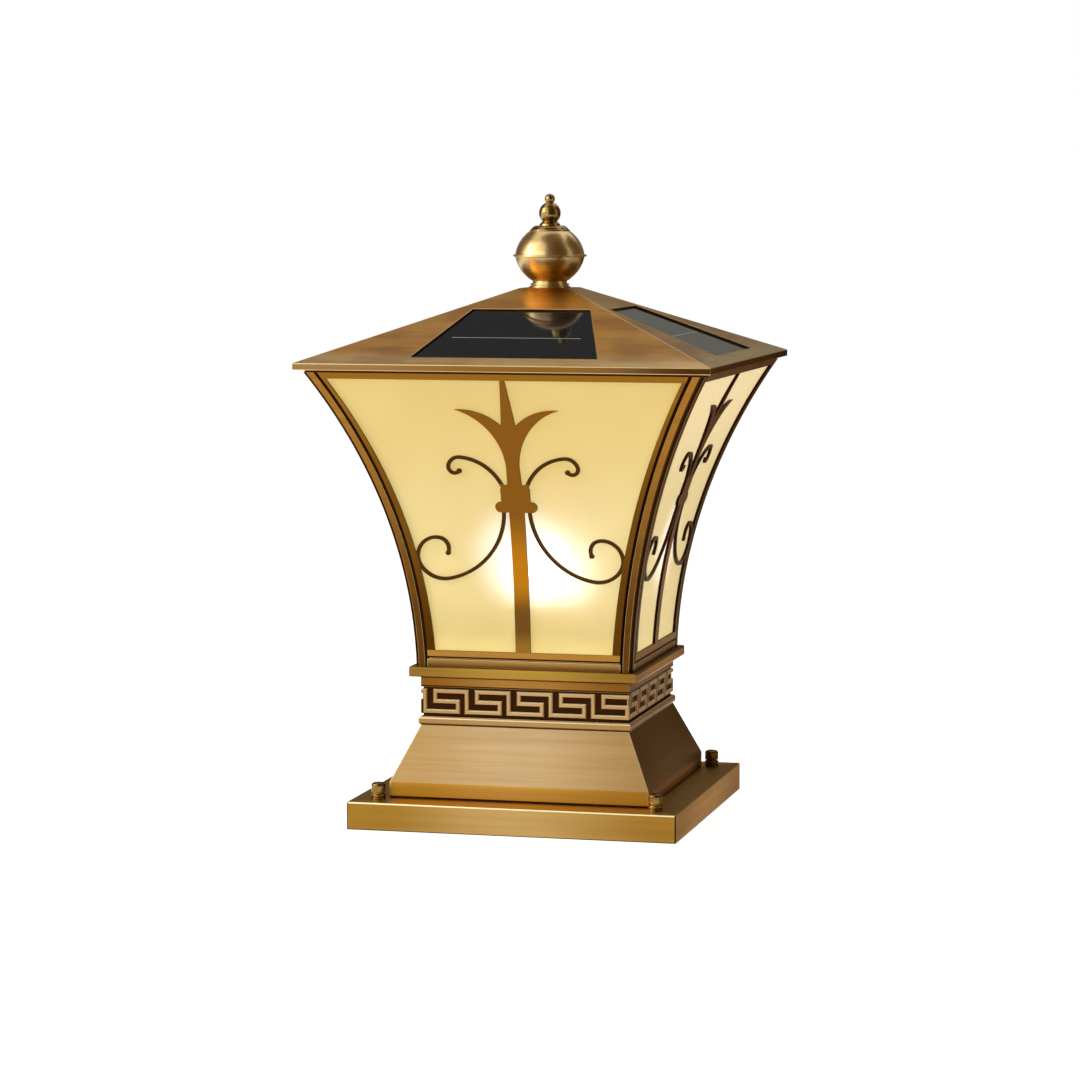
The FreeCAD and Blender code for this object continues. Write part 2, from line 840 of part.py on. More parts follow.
def make_tray():
    blank = rounded_slab("tray_blank", tray_half, tray_foot, tray_head, d.tray_round, lambda edge: True)
    inside = slab("tray_inside", tray_half - d.tray_wall, tray_foot - d.overrun, tray_under)
    hole = cylinder("tray_holder_hole", d.holder_radius + d.holder_hole_gap,
                    (0, 0, tray_foot), 2 * d.tray_height)
    holes = [hole]
    for index, (x, y) in enumerate(corner_spots(tie_half)):
        holes.append(cylinder(f"tray_tie_hole_{index}", d.tie_radius + d.tie_hole_gap,
                              (x, y, tray_foot), 2 * d.tray_height))
    for side in (-1, 1):
        holes.append(cylinder(f"tray_screw_hole_{side + 1}", d.screw_radius + d.screw_gap,
                              (0, side * d.holder_screw_place, tray_foot), 2 * d.tray_height))
    piece(cut("tray", blank, inside, *holes))


# Lantern body: sills, posts, window frames and panes

def make_sills():
    front = -flare_bottom_half
    back = front + d.frame_thickness
    rear = back + d.pane_thickness
    front_half = flare_bottom_half - d.frame_edge_inset
    back_half = flare_bottom_half - d.pane_edge_inset
    outer = box("sill_outer", (-front_half, front, tray_head), (front_half, back, tray_head + d.sill_height))
    inner = box("sill_inner", (-back_half, back, tray_head), (back_half, rear, tray_head + d.sill_back_height))
    bars = []
    for turn, side in enumerate(SIDES):
        bars.append(quarter(fuse(f"sill_bar_{side}", outer, inner), turn))
    group("sill_bars", bars)


def make_posts():
    """The post of the front right corner; the others are turned copies."""
    inner = flare_bottom_half - d.post_flange_reach - d.overrun
    outer = flare_reach
    stock = box("post_stock", (inner, -outer, tray_head), (outer, -inner, post_top))
    depth = common("post_depth_shape", face_drum("post_front_depth", "front", d.post_depth),
                   face_drum("post_side_depth", "right", d.post_depth))
    front_face = face_drum("post_front_face", "front", 0 * d.post_depth)
    side_face = face_drum("post_side_face", "right", 0 * d.post_depth)
    notch = common("post_notch_shape", face_drum("post_front_notch", "front", d.post_notch),
                   face_drum("post_side_notch", "right", d.post_notch))
    front_groove = cut("post_front_groove", face_drum("post_front_groove_floor", "front", d.post_groove_depth),
                       face_drum("post_side_rib", "right", d.post_rib_end))
    side_groove = cut("post_side_groove", face_drum("post_side_groove_floor", "right", d.post_groove_depth),
                      face_drum("post_front_rib", "front", d.post_rib_end))
    block = cut("post_block", common("post_solid", stock, depth),
                front_face, side_face, notch, front_groove, side_groove)
    flange_front = d.frame_thickness + 2 * d.pane_gap + d.pane_thickness
    flange_back = flange_front + d.post_flange_wall
    root_inset = d.post_depth - d.post_flange_wall
    flanges = []
    for name, near, far in (("front", "front", "right"), ("side", "right", "front")):
        band = cut(f"post_{name}_flange_band", face_drum(f"post_{name}_flange_back", near, flange_back),
                   face_drum(f"post_{name}_flange_front", near, flange_front))
        reach = cut(f"post_{name}_flange_reach", face_drum(f"post_{name}_flange_end", far, d.post_flange_reach),
                    face_drum(f"post_{name}_flange_root", far, root_inset))
        flanges.append(common(f"post_{name}_flange", stock, band, reach))
    lug_outer = flare_bottom_half - d.post_depth + d.overrun
    lug_inner = lug_outer - d.post_lug_reach
    lug = box("post_lug", (lug_inner, -lug_outer, tray_head),
              (lug_outer, -lug_inner, tray_head + d.post_lug_height))
    lug_hole = cylinder("post_lug_hole", d.tie_radius + d.tie_hole_gap,
                        (tie_half, -tie_half, tray_head - d.overrun), d.post_lug_height + 2 * d.overrun)
    screw_half = flare_top_half - d.ring_screw_inset
    screw_hole = cylinder("post_screw_hole", d.screw_radius + d.screw_gap,
                          (screw_half, -screw_half, post_top - d.screw_length), 2 * d.screw_length)
    solid = fuse("post_body", block, lug, *flanges)
    holes = fuse("post_holes", lug_hole, screw_hole)
    for turn, side in enumerate(("front_right", "back_right", "back_left", "front_left")):
        piece(quarter(cut(f"corner_post_{side}", solid, holes), turn))


collar_foot = window_top - d.collar_drop
calyx_head = collar_foot + d.collar_height + d.calyx_rise


def lily_outline():
    """The lily and its stem, one half down the right side and back up the left."""
    spike_root = (d.spike_root_half, window_top - d.spike_root_drop)
    leaf_tip = (d.leaf_tip_half, window_top - d.leaf_tip_drop)
    leaf_foot = (d.leaf_foot_half, calyx_head + d.leaf_foot_rise)
    half = [
        (d.spike_tip_half, window_top + d.overrun),
        (*spike_root, -chord(spike_root, leaf_tip) * LEAF_UPPER_SHARE),
        (*leaf_tip, chord(leaf_tip, leaf_foot) * LEAF_LOWER_SHARE),
        leaf_foot,
        (d.waist_half, calyx_head),
        (d.calyx_mouth_half, calyx_head),
        (d.calyx_half, calyx_head - d.calyx_shoulder),
        (d.calyx_half, collar_foot),
        (d.stem_half, collar_foot),
        (d.stem_half, window_foot - d.overrun),
    ]
    other = []
    for index in range(len(half) - 1, -1, -1):
        corner = half[index]
        follows = half[index - 1] if index else ()
        mirrored = (-corner[0], corner[1])
        other.append(mirrored + (follows[2],) if len(follows) == 3 else mirrored)
    return half + other


def scroll_strip(start, heading_deg, radii, turns_deg):
    """A strip of constant width along tangent arcs, in the X Z plane, padded along -Y."""
    half = d.scroll_width.value / 2
    depth = Vector(0, -flare_reach.value, 0)
    spot = Vector(start[0].value, 0, start[1].value)
    heading = math.radians(heading_deg)
    solids = []
    for radius, turn_deg in zip(radii, turns_deg):
        hand = math.copysign(1, turn_deg)
        centre = spot + Vector(-math.sin(heading), 0, math.cos(heading)) * (hand * radius.value)
        swing = math.radians(turn_deg)
        edges = []
        corners = []
        for offset in (radius.value - half, radius.value + half):
            trio = []
            for share in (0, 0.5, 1):
                bearing = heading + swing * share
                outward = Vector(math.sin(bearing), 0, -math.cos(bearing)) * hand
                trio.append(centre + outward * offset)
            edges.append(Part.Arc(*trio).toShape())
            corners.append((trio[0], trio[-1]))
        edges.append(Part.LineSegment(corners[0][0], corners[1][0]).toShape())
        edges.append(Part.LineSegment(corners[0][1], corners[1][1]).toShape())
        face = Part.Face(Part.Wire(Part.__sortEdges__(edges)))
        solids.append(face.extrude(depth))
        heading += swing
        spot = centre + Vector(math.sin(heading), 0, -math.cos(heading)) * (hand * radius.value)
    eye = Part.makeCylinder(d.scroll_end_radius.value, flare_reach.value, spot, Vector(0, -1, 0))
    solids.append(eye)
    return solids


def make_ironwork():
    """The lily, collar and scrolls as one prism along the front's view."""
    lily = padded("lily", "XZ_Plane", [lily_outline()], flare_reach)
    round_half = d.collar_height / 2
    bar_half = d.collar_half - round_half
    collar = box("collar_bar", (-bar_half, -flare_reach, collar_foot),
                 (bar_half, 0, collar_foot + d.collar_height))
    ends = [cylinder(f"collar_end_{side + 1}", round_half,
                     (side * bar_half, -flare_reach, collar_foot + round_half), flare_reach, "Y")
            for side in (-1, 1)]
    upper = scroll_strip((-d.upper_root_half, collar_foot + d.upper_root_rise), UPPER_START_DEG,
                         (d.upper_sweep_radius, d.upper_curl_radius, d.upper_eye_radius), UPPER_TURNS_DEG)
    lower = scroll_strip((-d.lower_root_half, collar_foot + d.lower_root_rise), LOWER_START_DEG,
                         (d.lower_sweep_radius, d.lower_curl_radius, d.lower_turn_radius,
                          d.lower_eye_radius), LOWER_TURNS_DEG)
    half = upper[0].multiFuse(upper[1:] + lower)
    scrolls = doc.addObject("Part::Feature", "scrolls")
    scrolls.Shape = half.fuse(half.mirror(Vector(), Vector(1, 0, 0)))
    return fuse("ironwork", lily, collar, *ends, scrolls)


def make_windows():
    """The frame with its ironwork, and the pane behind it, for each side."""
    band = cut("frame_band", face_drum("frame_back", "front", d.frame_thickness),
               face_drum("frame_front", "front", 0 * d.frame_thickness))
    stock = box("frame_stock", (-flare_reach, -flare_reach, frame_foot), (flare_reach, 0, post_top))
    sheet_shape = cut("frame_sheet", common("frame_curved_sheet", band, stock),
                      face_drum("frame_right_edge", "right", d.frame_edge_inset),
                      face_drum("frame_left_edge", "left", d.frame_edge_inset))
    hole_stock = box("window_stock", (-flare_reach, -flare_reach, window_foot),
                     (flare_reach, 0, window_top))
    hole = cut("window_hole", hole_stock, face_drum("window_right_edge", "right", d.window_inset),
               face_drum("window_left_edge", "left", d.window_inset))
    rim = cut("frame_rim", sheet_shape, hole)
    metal = common("ironwork_metal", sheet_shape, make_ironwork())
    for turn, side in enumerate(SIDES):
        piece(quarter(fuse(f"window_frame_{side}", rim, metal), turn))

    front = d.frame_thickness + d.pane_gap
    pane_foot = tray_head + d.sill_back_height + d.pane_gap
    pane_stock = box("pane_stock", (-flare_reach, -flare_reach, pane_foot),
                     (flare_reach, 0, post_top - d.pane_top_gap))
    pane_band = cut("pane_band", face_drum("pane_inner_face", "front", front + d.pane_thickness),
                    face_drum("pane_outer_face", "front", front))
    blank = common("pane_blank", pane_band, pane_stock)
    edges = fuse("pane_edges", face_drum("pane_right_edge", "right", d.pane_edge_inset),
                 face_drum("pane_left_edge", "left", d.pane_edge_inset))
    for turn, side in enumerate(SIDES):
        piece(quarter(cut(f"pane_{side}", blank, edges), turn))


# Top ring, crossbar, centre rod and the countersunk screws

def screw_shape(name, x, y, head):
    """A countersunk screw, its head flush with a surface."""
    shank = cylinder(name + "_shank", d.screw_radius, (x, y, head - d.screw_length), d.screw_length)
    cone = doc.addObject("Part::Cone", name + "_head")
    bind(cone, "Radius1", d.screw_radius)
    bind(cone, "Radius2", d.screw_head_radius)
    bind(cone, "Height", d.screw_head_height)
    place(cone, (x, y, head - d.screw_head_height))
    return fuse(name, shank, cone)


def screw_seat(name, x, y, head):
    """The countersunk hole for such a screw."""
    shank = cylinder(name + "_hole", d.screw_radius + d.screw_gap,
                     (x, y, head - d.screw_length - d.overrun), d.screw_length + d.overrun)
    cone = doc.addObject("Part::Cone", name + "_sink")
    bind(cone, "Radius1", d.screw_radius + d.screw_gap)
    bind(cone, "Radius2", d.screw_head_radius + d.screw_gap)
    bind(cone, "Height", d.screw_head_height)
    place(cone, (x, y, head - d.screw_head_height))
    return [shank, cone]


def screw_spots():
    """Places of the screws as (name, x, y, height of the head's face)."""
    ring_half = flare_top_half - d.ring_screw_inset
    spots = [(f"ring_screw_{index}", x, y, roof_foot) for index, (x, y) in enumerate(corner_spots(ring_half))]
    bar_x = d.crossbar_length / 2 - d.crossbar_screw_inset
    bar_y = d.crossbar_screw_spacing / 2
    for index, (x, y) in enumerate(((1, -1), (1, 1), (-1, 1), (-1, -1))):
        spots.append((f"crossbar_screw_{index}", x * bar_x, y * bar_y, roof_foot))
    holder_head = tray_head + d.holder_flange_height
    for index, side in enumerate((-1, 1)):
        spots.append((f"holder_screw_{index}", 0, side * d.holder_screw_place, holder_head))
    return spots


def make_top():
    ring_half = flare_top_half - d.ring_setback
    blank = slab("ring_blank", ring_half, post_top, roof_foot)
    opening = slab("ring_opening_shape", ring_half - d.ring_width, post_top - d.overrun, roof_foot + d.overrun)
    seats = []
    for name, x, y, head in screw_spots():
        if not name.startswith("holder"):
            seats += screw_seat(name + "_seat", x, y, head)
    piece(cut("top_ring", blank, opening, *seats))

    bar_head = post_top
    bar_foot = bar_head - d.crossbar_thickness
    half_length = d.crossbar_length / 2
    half_width = d.crossbar_width / 2
    bar = box("crossbar_blank", (-half_length, -half_width, bar_foot), (half_length, half_width, bar_head))
    rod_hole = cylinder("crossbar_rod_hole", d.rod_radius + d.rod_hole_gap,
                        (0, 0, bar_foot - d.overrun), d.crossbar_thickness + 2 * d.overrun)
    holes = [rod_hole]
    for name, x, y, head in screw_spots():
        if name.startswith("crossbar"):
            holes.append(cylinder(name + "_bar_hole", d.screw_radius + d.screw_gap,
                                  (x, y, bar_foot - d.overrun), d.crossbar_thickness + 2 * d.overrun))
    piece(cut("crossbar", bar, *holes))

    rod_foot = bar_foot - d.rod_tail
    piece(cylinder("centre_rod", d.rod_radius, (0, 0, rod_foot), roof_head + d.rod_rise - rod_foot))
    nuts = []
    for level, low in (("lower", bar_foot - d.rod_nut_height), ("upper", bar_head)):
        name = f"rod_nut_{level}"
        hexagon = prism(name + "_hex", d.rod_nut_flats, low, low + d.rod_nut_height)
        bore = cylinder(name + "_bore", d.rod_radius + d.thread_gap,
                        (0, 0, low - d.overrun), d.rod_nut_height + 2 * d.overrun)
        nuts.append(cut(name, hexagon, bore))
    group("rod_nuts", nuts)
    group("countersunk_screws", [screw_shape(*spot) for spot in screw_spots()])


# Lamp holder, bulb and junction box

holder_foot = tray_head - d.holder_drop
holder_head = tray_head + d.holder_rise
socket_floor = holder_foot + d.holder_floor


def make_holder():
    shell_outer = d.bulb_cap_radius + d.shell_gap + d.shell_wall
    bore = shell_outer + d.led_fit_gap
    flange_head = tray_head + d.holder_flange_height
    outline = [
        (0, holder_foot),
        (d.holder_radius, holder_foot),
        (d.holder_radius, tray_head),
        (d.holder_flange_radius, tray_head),
        (d.holder_flange_radius, flange_head),
        (d.holder_radius, flange_head),
        (d.holder_radius, holder_head),
        (bore, holder_head),
        (bore, socket_floor),
        (0, socket_floor),
    ]
    seats = []
    for name, x, y, head in screw_spots():
        if name.startswith("holder"):
            seats += screw_seat(name + "_seat", x, y, head)
    piece(cut("lamp_holder", turned("holder_blank", outline), *seats))
    shell_foot = socket_floor + d.shell_lift
    shell_head = shell_foot + d.shell_length
    outer = cylinder("shell_outer", shell_outer, (0, 0, shell_foot), d.shell_length)
    inner = cylinder("shell_inner", shell_outer - d.shell_wall, (0, 0, shell_foot - d.overrun),
                     shell_head - shell_foot + 2 * d.overrun)
    contact = cylinder("centre_contact", d.contact_radius, (0, 0, socket_floor), d.contact_height)
    group("holder_contacts", [cut("thread_shell", outer, inner), contact])


bulb_foot = socket_floor + d.contact_height + d.bulb_lift
cap_head = bulb_foot + d.bulb_cap_height
housing_head = cap_head + d.bulb_housing_height


def make_bulb():
    taper_foot = bulb_foot + d.bulb_tip_height
    piece(turned("bulb_cap", [
        (0, bulb_foot),
        (d.bulb_tip_radius, bulb_foot),
        (d.bulb_tip_radius, taper_foot),
        (d.bulb_cap_radius, taper_foot + d.bulb_cap_taper),
        (d.bulb_cap_radius, cap_head),
        (0, cap_head),
    ]))
    piece(turned("bulb_housing", [
        (0, cap_head),
        (d.bulb_housing_foot_radius, cap_head, -d.bulb_housing_round),
        (d.bulb_housing_head_radius, housing_head),
        (0, housing_head),
    ]))
    rise = root(d.bulb_radius * d.bulb_radius - d.bulb_housing_head_radius * d.bulb_housing_head_radius)
    centre = housing_head + rise
    outer = doc.addObject("Part::Sphere", "envelope_outer")
    bind(outer, "Radius", d.bulb_radius)
    place(outer, (0, 0, centre))
    inner = doc.addObject("Part::Sphere", "envelope_inner")
    bind(inner, "Radius", d.bulb_radius - d.bulb_wall)
    place(inner, (0, 0, centre))
    below = slab("envelope_below", 2 * d.bulb_radius, centre - 2 * d.bulb_radius, housing_head)
    piece(cut("bulb_envelope", outer, inner, below))


box_head = tray_under
box_foot = tray_under - d.box_height
lid_foot = box_foot - d.lid_thickness


def make_junction_box():
    low_x = d.box_start
    high_x = low_x + d.box_length
    half_y = d.box_width / 2
    outside = box("junction_outside", (low_x, -half_y, box_foot), (high_x, half_y, box_head))
    inside = box("junction_inside", (low_x + d.box_wall, -half_y + d.box_wall, box_foot - d.overrun),
                 (high_x - d.box_wall, half_y - d.box_wall, box_head - d.box_wall))
    piece(cut("junction_box", outside, inside))
    lid = box("lid_blank", (low_x, -half_y, lid_foot), (high_x, half_y, box_foot))
    lid_hole = cylinder("lid_hole", d.gland_thread_radius + d.gland_gap,
                        (d.gland_place, 0, lid_foot - d.overrun), d.lid_thickness + 2 * d.overrun)
    lead_hole = cylinder("lid_lead_hole", d.mains_lead_radius + d.gland_gap,
                         (d.mains_lead_place, 0, lid_foot - d.overrun), d.lid_thickness + 2 * d.overrun)
    piece(cut("junction_lid", lid, lid_hole, lead_hole))
    middle = low_x + d.box_length / 2
    half_length = d.terminal_length / 2
    half_width = d.terminal_width / 2
    ceiling = box_head - d.box_wall
    piece(box("terminal_block", (middle - half_length, -half_width, ceiling - d.terminal_height),
              (middle + half_length, half_width, ceiling)))

    flange_foot = lid_foot - d.gland_flange_height
    foot = flange_foot - d.gland_length
    head = box_foot + d.gland_thread_height
    spot = (d.gland_place, 0)
    body = cylinder("gland_body", d.gland_radius, (*spot, foot), d.gland_length)
    flange = cylinder("gland_flange", d.gland_flange_radius, (*spot, flange_foot), d.gland_flange_height)
    thread = cylinder("gland_thread", d.gland_thread_radius, (*spot, lid_foot), head - lid_foot)
    bore = cylinder("gland_bore_shape", d.gland_bore, (*spot, foot - d.overrun), head - foot + 2 * d.overrun)
    piece(cut("cable_gland", fuse("gland_solid", body, flange, thread), bore))


# Leads run straight with tangent bends

def lead(name, points, radius, bend):
    """A round lead through points, each corner eased by an arc."""
    spots = [Vector(*(number(c) for c in point)) for point in points]
    edges = []
    start = spots[0]
    for before, corner, after in zip(spots, spots[1:], spots[2:]):
        into = (corner - before).normalize()
        out = (after - corner).normalize()
        ease = bend.value * math.tan(into.getAngle(out) / 2)
        first = corner - into * ease
        last = corner + out * ease
        centre = first + (out - into * into.dot(out)).normalize() * bend.value
        middle = centre + (corner - centre).normalize() * bend.value
        edges.append(Part.LineSegment(start, first).toShape())
        edges.append(Part.Arc(first, middle, last).toShape())
        start = last
    edges.append(Part.LineSegment(start, spots[-1]).toShape())
    path = Part.Wire(edges)
    ring = Part.Wire(Part.makeCircle(radius.value, spots[0], spots[1] - spots[0]))
    item = doc.addObject("Part::Feature", name)
    item.Shape = path.makePipeShell([ring], True, False)
    return item


def make_internal_lead():
    drop = box_foot - d.mains_lead_drop
    item = lead("internal_lead", [
        (d.mains_lead_place, 0, box_head - d.box_wall - d.terminal_height),
        (d.mains_lead_place, 0, drop),
        (0, 0, drop),
        (0, 0, holder_foot),
    ], d.mains_lead_radius, d.mains_lead_bend)
    piece(item)


# Roof shell, soffit and solar panels

roof_run = roof_half - roof_flat_half
roof_slant = root(roof_run * roof_run + d.roof_rise * d.roof_rise)
wall_down = d.roof_wall * roof_slant / roof_run
roof_inner_half = roof_half - d.roof_wall
roof_inner_head = roof_head - d.roof_wall


def slope_height(half):
    """Height of the roof's outer slope over a point at this distance from the axis."""
    return eave + (roof_half - half) * d.roof_rise / roof_run


def on_slope(item, side_turns=0):
    """Puts an object drawn flat (x across, y up the slope, z out of it) on the front slope."""
    pitch = Rotation(Vector(1, 0, 0), math.degrees(math.atan2(d.roof_rise.value, roof_run.value)))
    place(item, (0, -roof_half, eave), pitch)
    item.setExpression("Placement.Rotation.Angle", f"atan({d.roof_rise.formula} / {roof_run.formula})")
    return item


def slope_plate(name, foot, head, foot_half, head_half, low, high):
    """A trapezoid plate lying in the slope, between two depths from its surface."""
    item = doc.addObject("Part::Wedge", name)
    bind(item, "Xmin", -foot_half)
    bind(item, "Xmax", foot_half)
    bind(item, "X2min", -head_half)
    bind(item, "X2max", head_half)
    bind(item, "Ymin", foot)
    bind(item, "Ymax", head)
    for prop in ("Zmin", "Z2min"):
        bind(item, prop, low)
    for prop in ("Zmax", "Z2max"):
        bind(item, prop, high)
    return on_slope(item)


def make_roof():
    lip = slab("roof_lip", roof_half, roof_foot, eave)
    slope = frustum("roof_slope", roof_half, roof_flat_half, eave, roof_head)
    inner_eave = slope_height(roof_inner_half) - wall_down
    inner_head_half = roof_half - (roof_inner_head + wall_down - eave) * roof_run / d.roof_rise
    lip_inside = slab("roof_lip_inside", roof_inner_half, roof_foot - d.overrun, inner_eave)
    slope_inside = frustum("roof_slope_inside", roof_inner_half, inner_head_half, inner_eave, roof_inner_head)
    rod_hole = cylinder("roof_rod_hole", d.rod_radius + d.rod_hole_gap,
                        (0, 0, roof_inner_head - d.overrun), 2 * d.overrun + d.roof_wall)
    head = d.panel_foot + d.panel_length
    window = slope_plate("panel_window", d.panel_foot, head, d.panel_foot_half, d.panel_head_half,
                         -d.roof_wall - d.overrun, d.overrun)
    doc.recompute()
    windows = []
    for turn, side in enumerate(SIDES):
        windows.append(quarter(bundle(f"panel_window_{side}", window), turn))
    piece(cut("roof_shell", fuse("roof_blank", lip, slope), lip_inside, slope_inside, rod_hole, *windows))


def make_panels():
    margin = d.panel_margin
    foot = d.panel_foot - margin
    head = d.panel_foot + d.panel_length + margin
    lean = (d.panel_foot_half - d.panel_head_half) / d.panel_length
    foot_half = d.panel_foot_half + margin + lean * margin
    head_half = d.panel_head_half + margin - lean * margin
    top = -d.roof_wall
    glass = slope_plate("panel_glass", foot, head, foot_half, head_half, top - d.panel_thickness, top)
    line = d.panel_foot + d.busbar_height
    half = d.busbar_width / 2
    groove = slope_plate("busbar_groove", line - half, line + half, d.busbar_half, d.busbar_half,
                         top - d.busbar_depth, top + d.overrun)
    strip = slope_plate("busbar_strip", line - half, line + half, d.busbar_half, d.busbar_half,
                        top - d.busbar_depth, top)
    bars = []
    for turn, side in enumerate(SIDES):
        piece(quarter(cut(f"solar_panel_{side}", glass, groove), turn))
        bars.append(quarter(bundle(f"cell_busbar_{side}", strip), turn))
    group("cell_busbars", bars)


def make_soffit():
    half = roof_inner_half - d.roof_seat_gap
    plate = slab("soffit_plate", half, roof_foot, soffit_head)
    rim = slab("soffit_rim", half, roof_foot, soffit_head + d.soffit_rim_height)
    rim_inside = slab("soffit_rim_inside", half - d.soffit_thickness, roof_foot - d.overrun,
                      soffit_head + d.soffit_rim_height + d.overrun)
    pan = fuse("soffit_pan", plate, cut("soffit_edge", rim, rim_inside))
    led_hole = cylinder("soffit_led_hole", d.led_radius + d.led_fit_gap,
                        (0, 0, roof_foot - d.overrun), d.soffit_thickness + 2 * d.overrun)
    button_hole = cylinder("soffit_button_hole", d.button_radius + d.button_gap,
                           (0, -d.switch_place, roof_foot - d.overrun), d.soffit_thickness + 2 * d.overrun)
    piece(cut("soffit", pan, led_hole, button_hole))


# Light module, battery, controller and switch

led_foot = roof_foot + d.led_lift
led_head = led_foot + d.led_height


def make_light_module():
    wall = d.led_wall
    flange_head = soffit_head + wall
    ceiling = led_head - wall
    piece(turned("led_housing", [
        (d.led_tube_radius, led_foot),
        (d.led_tube_radius + wall, led_foot),
        (d.led_tube_radius + wall, ceiling),
        (d.led_radius - wall, ceiling),
        (d.led_radius - wall, led_foot),
        (d.led_radius, led_foot),
        (d.led_radius, soffit_head),
        (d.led_flange_radius, soffit_head),
        (d.led_flange_radius, flange_head),
        (d.led_radius, flange_head),
        (d.led_radius, led_head),
        (d.led_tube_radius, led_head),
    ]))
    inner = d.led_tube_radius + wall + d.led_fit_gap
    outer = d.led_radius - wall - d.led_fit_gap
    board_foot = ceiling - d.led_board_thickness
    board = turned("led_board_disc", [(inner, board_foot), (outer, board_foot), (outer, ceiling), (inner, ceiling)])
    chips = []
    half = d.led_chip_side / 2
    for index in range(LED_CHIPS):
        bearing = 2 * math.pi * index / LED_CHIPS
        x = d.led_chip_ring * math.cos(bearing)
        y = d.led_chip_ring * math.sin(bearing)
        chips.append(box(f"led_chip_{index}", (x - half, y - half, board_foot - d.led_chip_height),
                         (x + half, y + half, board_foot)))
    piece(fuse("led_board", board, *chips))
    lens_head = led_foot + d.led_diffuser_thickness
    piece(turned("led_diffuser", [(inner, led_foot), (outer, led_foot), (outer, lens_head), (inner, lens_head)]))


def open_case(name, low, high, wall):
    """A cover of constant wall, open below."""
    outside = box(name + "_outside", low, high)
    inside = box(name + "_inside", (low[0] + wall, low[1] + wall, low[2] - d.overrun),
                 (high[0] - wall, high[1] - wall, high[2] - wall))
    return piece(cut(name, outside, inside))


def make_battery():
    half = d.battery_case_length / 2
    start = d.battery_case_start
    open_case("battery_case", (-half, start, soffit_head),
              (half, start + d.battery_case_width, soffit_head + d.battery_case_height), d.case_wall)
    middle = start + d.battery_case_width / 2
    cells = []
    for side in (-1, 1):
        cells.append(cylinder(f"battery_cell_{side + 1}", d.cell_radius,
                              (-d.cell_length / 2, middle + side * d.cell_spacing / 2,
                               soffit_head + d.cell_radius), d.cell_length, "X"))
    group("battery_cells", cells)


def make_controller():
    half = d.controller_length / 2
    near = -d.controller_start
    far = near - d.controller_width
    head = soffit_head + d.controller_height
    open_case("controller_case", (-half, far, soffit_head), (half, near, head), d.case_wall)
    switch_head = soffit_head + d.switch_height
    edge = d.case_wall + d.board_margin
    piece(box("controller_board", (-half + edge, far + edge, switch_head),
              (half - edge, near - edge, switch_head + d.board_thickness)))
    side = d.switch_side / 2
    spot = (0, -d.switch_place)
    body = box("switch_blank", (-side, spot[1] - side, soffit_head), (side, spot[1] + side, switch_head))
    flange_room = d.button_seat_gap + d.button_flange_height + d.button_travel + d.button_seat_gap
    flange_bore = cylinder("switch_flange_bore", d.button_flange_radius + d.button_gap,
                           (*spot, soffit_head - d.overrun), flange_room + d.overrun)
    stem_head = roof_foot - d.button_proud + d.button_length
    stem_bore = cylinder("switch_stem_bore", d.button_radius + d.button_gap, (*spot, soffit_head - d.overrun),
                         stem_head + d.button_travel + d.button_seat_gap - soffit_head + d.overrun)
    piece(cut("switch_body", body, flange_bore, stem_bore))
    stem = cylinder("button_stem", d.button_radius, (*spot, roof_foot - d.button_proud), d.button_length)
    collar = cylinder("button_collar", d.button_flange_radius, (*spot, soffit_head + d.button_seat_gap),
                      d.button_flange_height)
    piece(fuse("mode_button", stem, collar))


def make_roof_leads():
    """Leads from the four panels, the battery and the light module to the controller."""
    radius = d.lead_radius
    floor = soffit_head + radius + d.lead_floor_gap
    place_out = roof_half - d.panel_lead_place
    under_panel = (slope_height(place_out) - (d.roof_wall + d.panel_thickness) * roof_slant / roof_run
                   - radius * d.roof_rise / roof_run)
    out = place_out
    half = d.controller_length / 2
    far = -d.controller_start - d.controller_width
    row = -d.switch_place
    lane = d.lead_lane
    battery_half = d.battery_case_length / 2
    battery_row = d.battery_case_start + d.battery_case_width / 2
    upper_floor = floor + 3 * radius
    mid_row = -d.controller_start - lane
    led_row = -(d.led_radius + d.led_tube_radius) / 2
    over = led_head + lane
    case_head = soffit_head + d.controller_height
    runs = {
        "front_lead": [(0, -out, under_panel), (0, -out, floor + 2 * lane / 3), (0, far, floor + 2 * lane / 3)],
        "right_lead": [(out, 0, under_panel), (out, 0, floor), (out, row, floor), (half, row, floor)],
        "left_lead": [(-out, 0, under_panel), (-out, 0, floor), (-out, row, floor), (-half, row, floor)],
        "back_lead": [(0, out, under_panel), (0, out, upper_floor), (out - 2 * lane, out, upper_floor),
                      (out - 2 * lane, row - lane, upper_floor), (half, row - lane, upper_floor)],
        "battery_lead": [(-battery_half, battery_row, floor), (-battery_half - 2 * lane, battery_row, floor),
                         (-battery_half - 2 * lane, mid_row, floor), (-half, mid_row, floor)],
        "light_lead": [(0, led_row, led_head), (0, led_row, over), (0, mid_row, over), (0, mid_row, case_head)],
    }
    group("roof_leads", [lead(name, points, radius, d.lead_bend) for name, points in runs.items()])


# Finial, turned about the centre rod

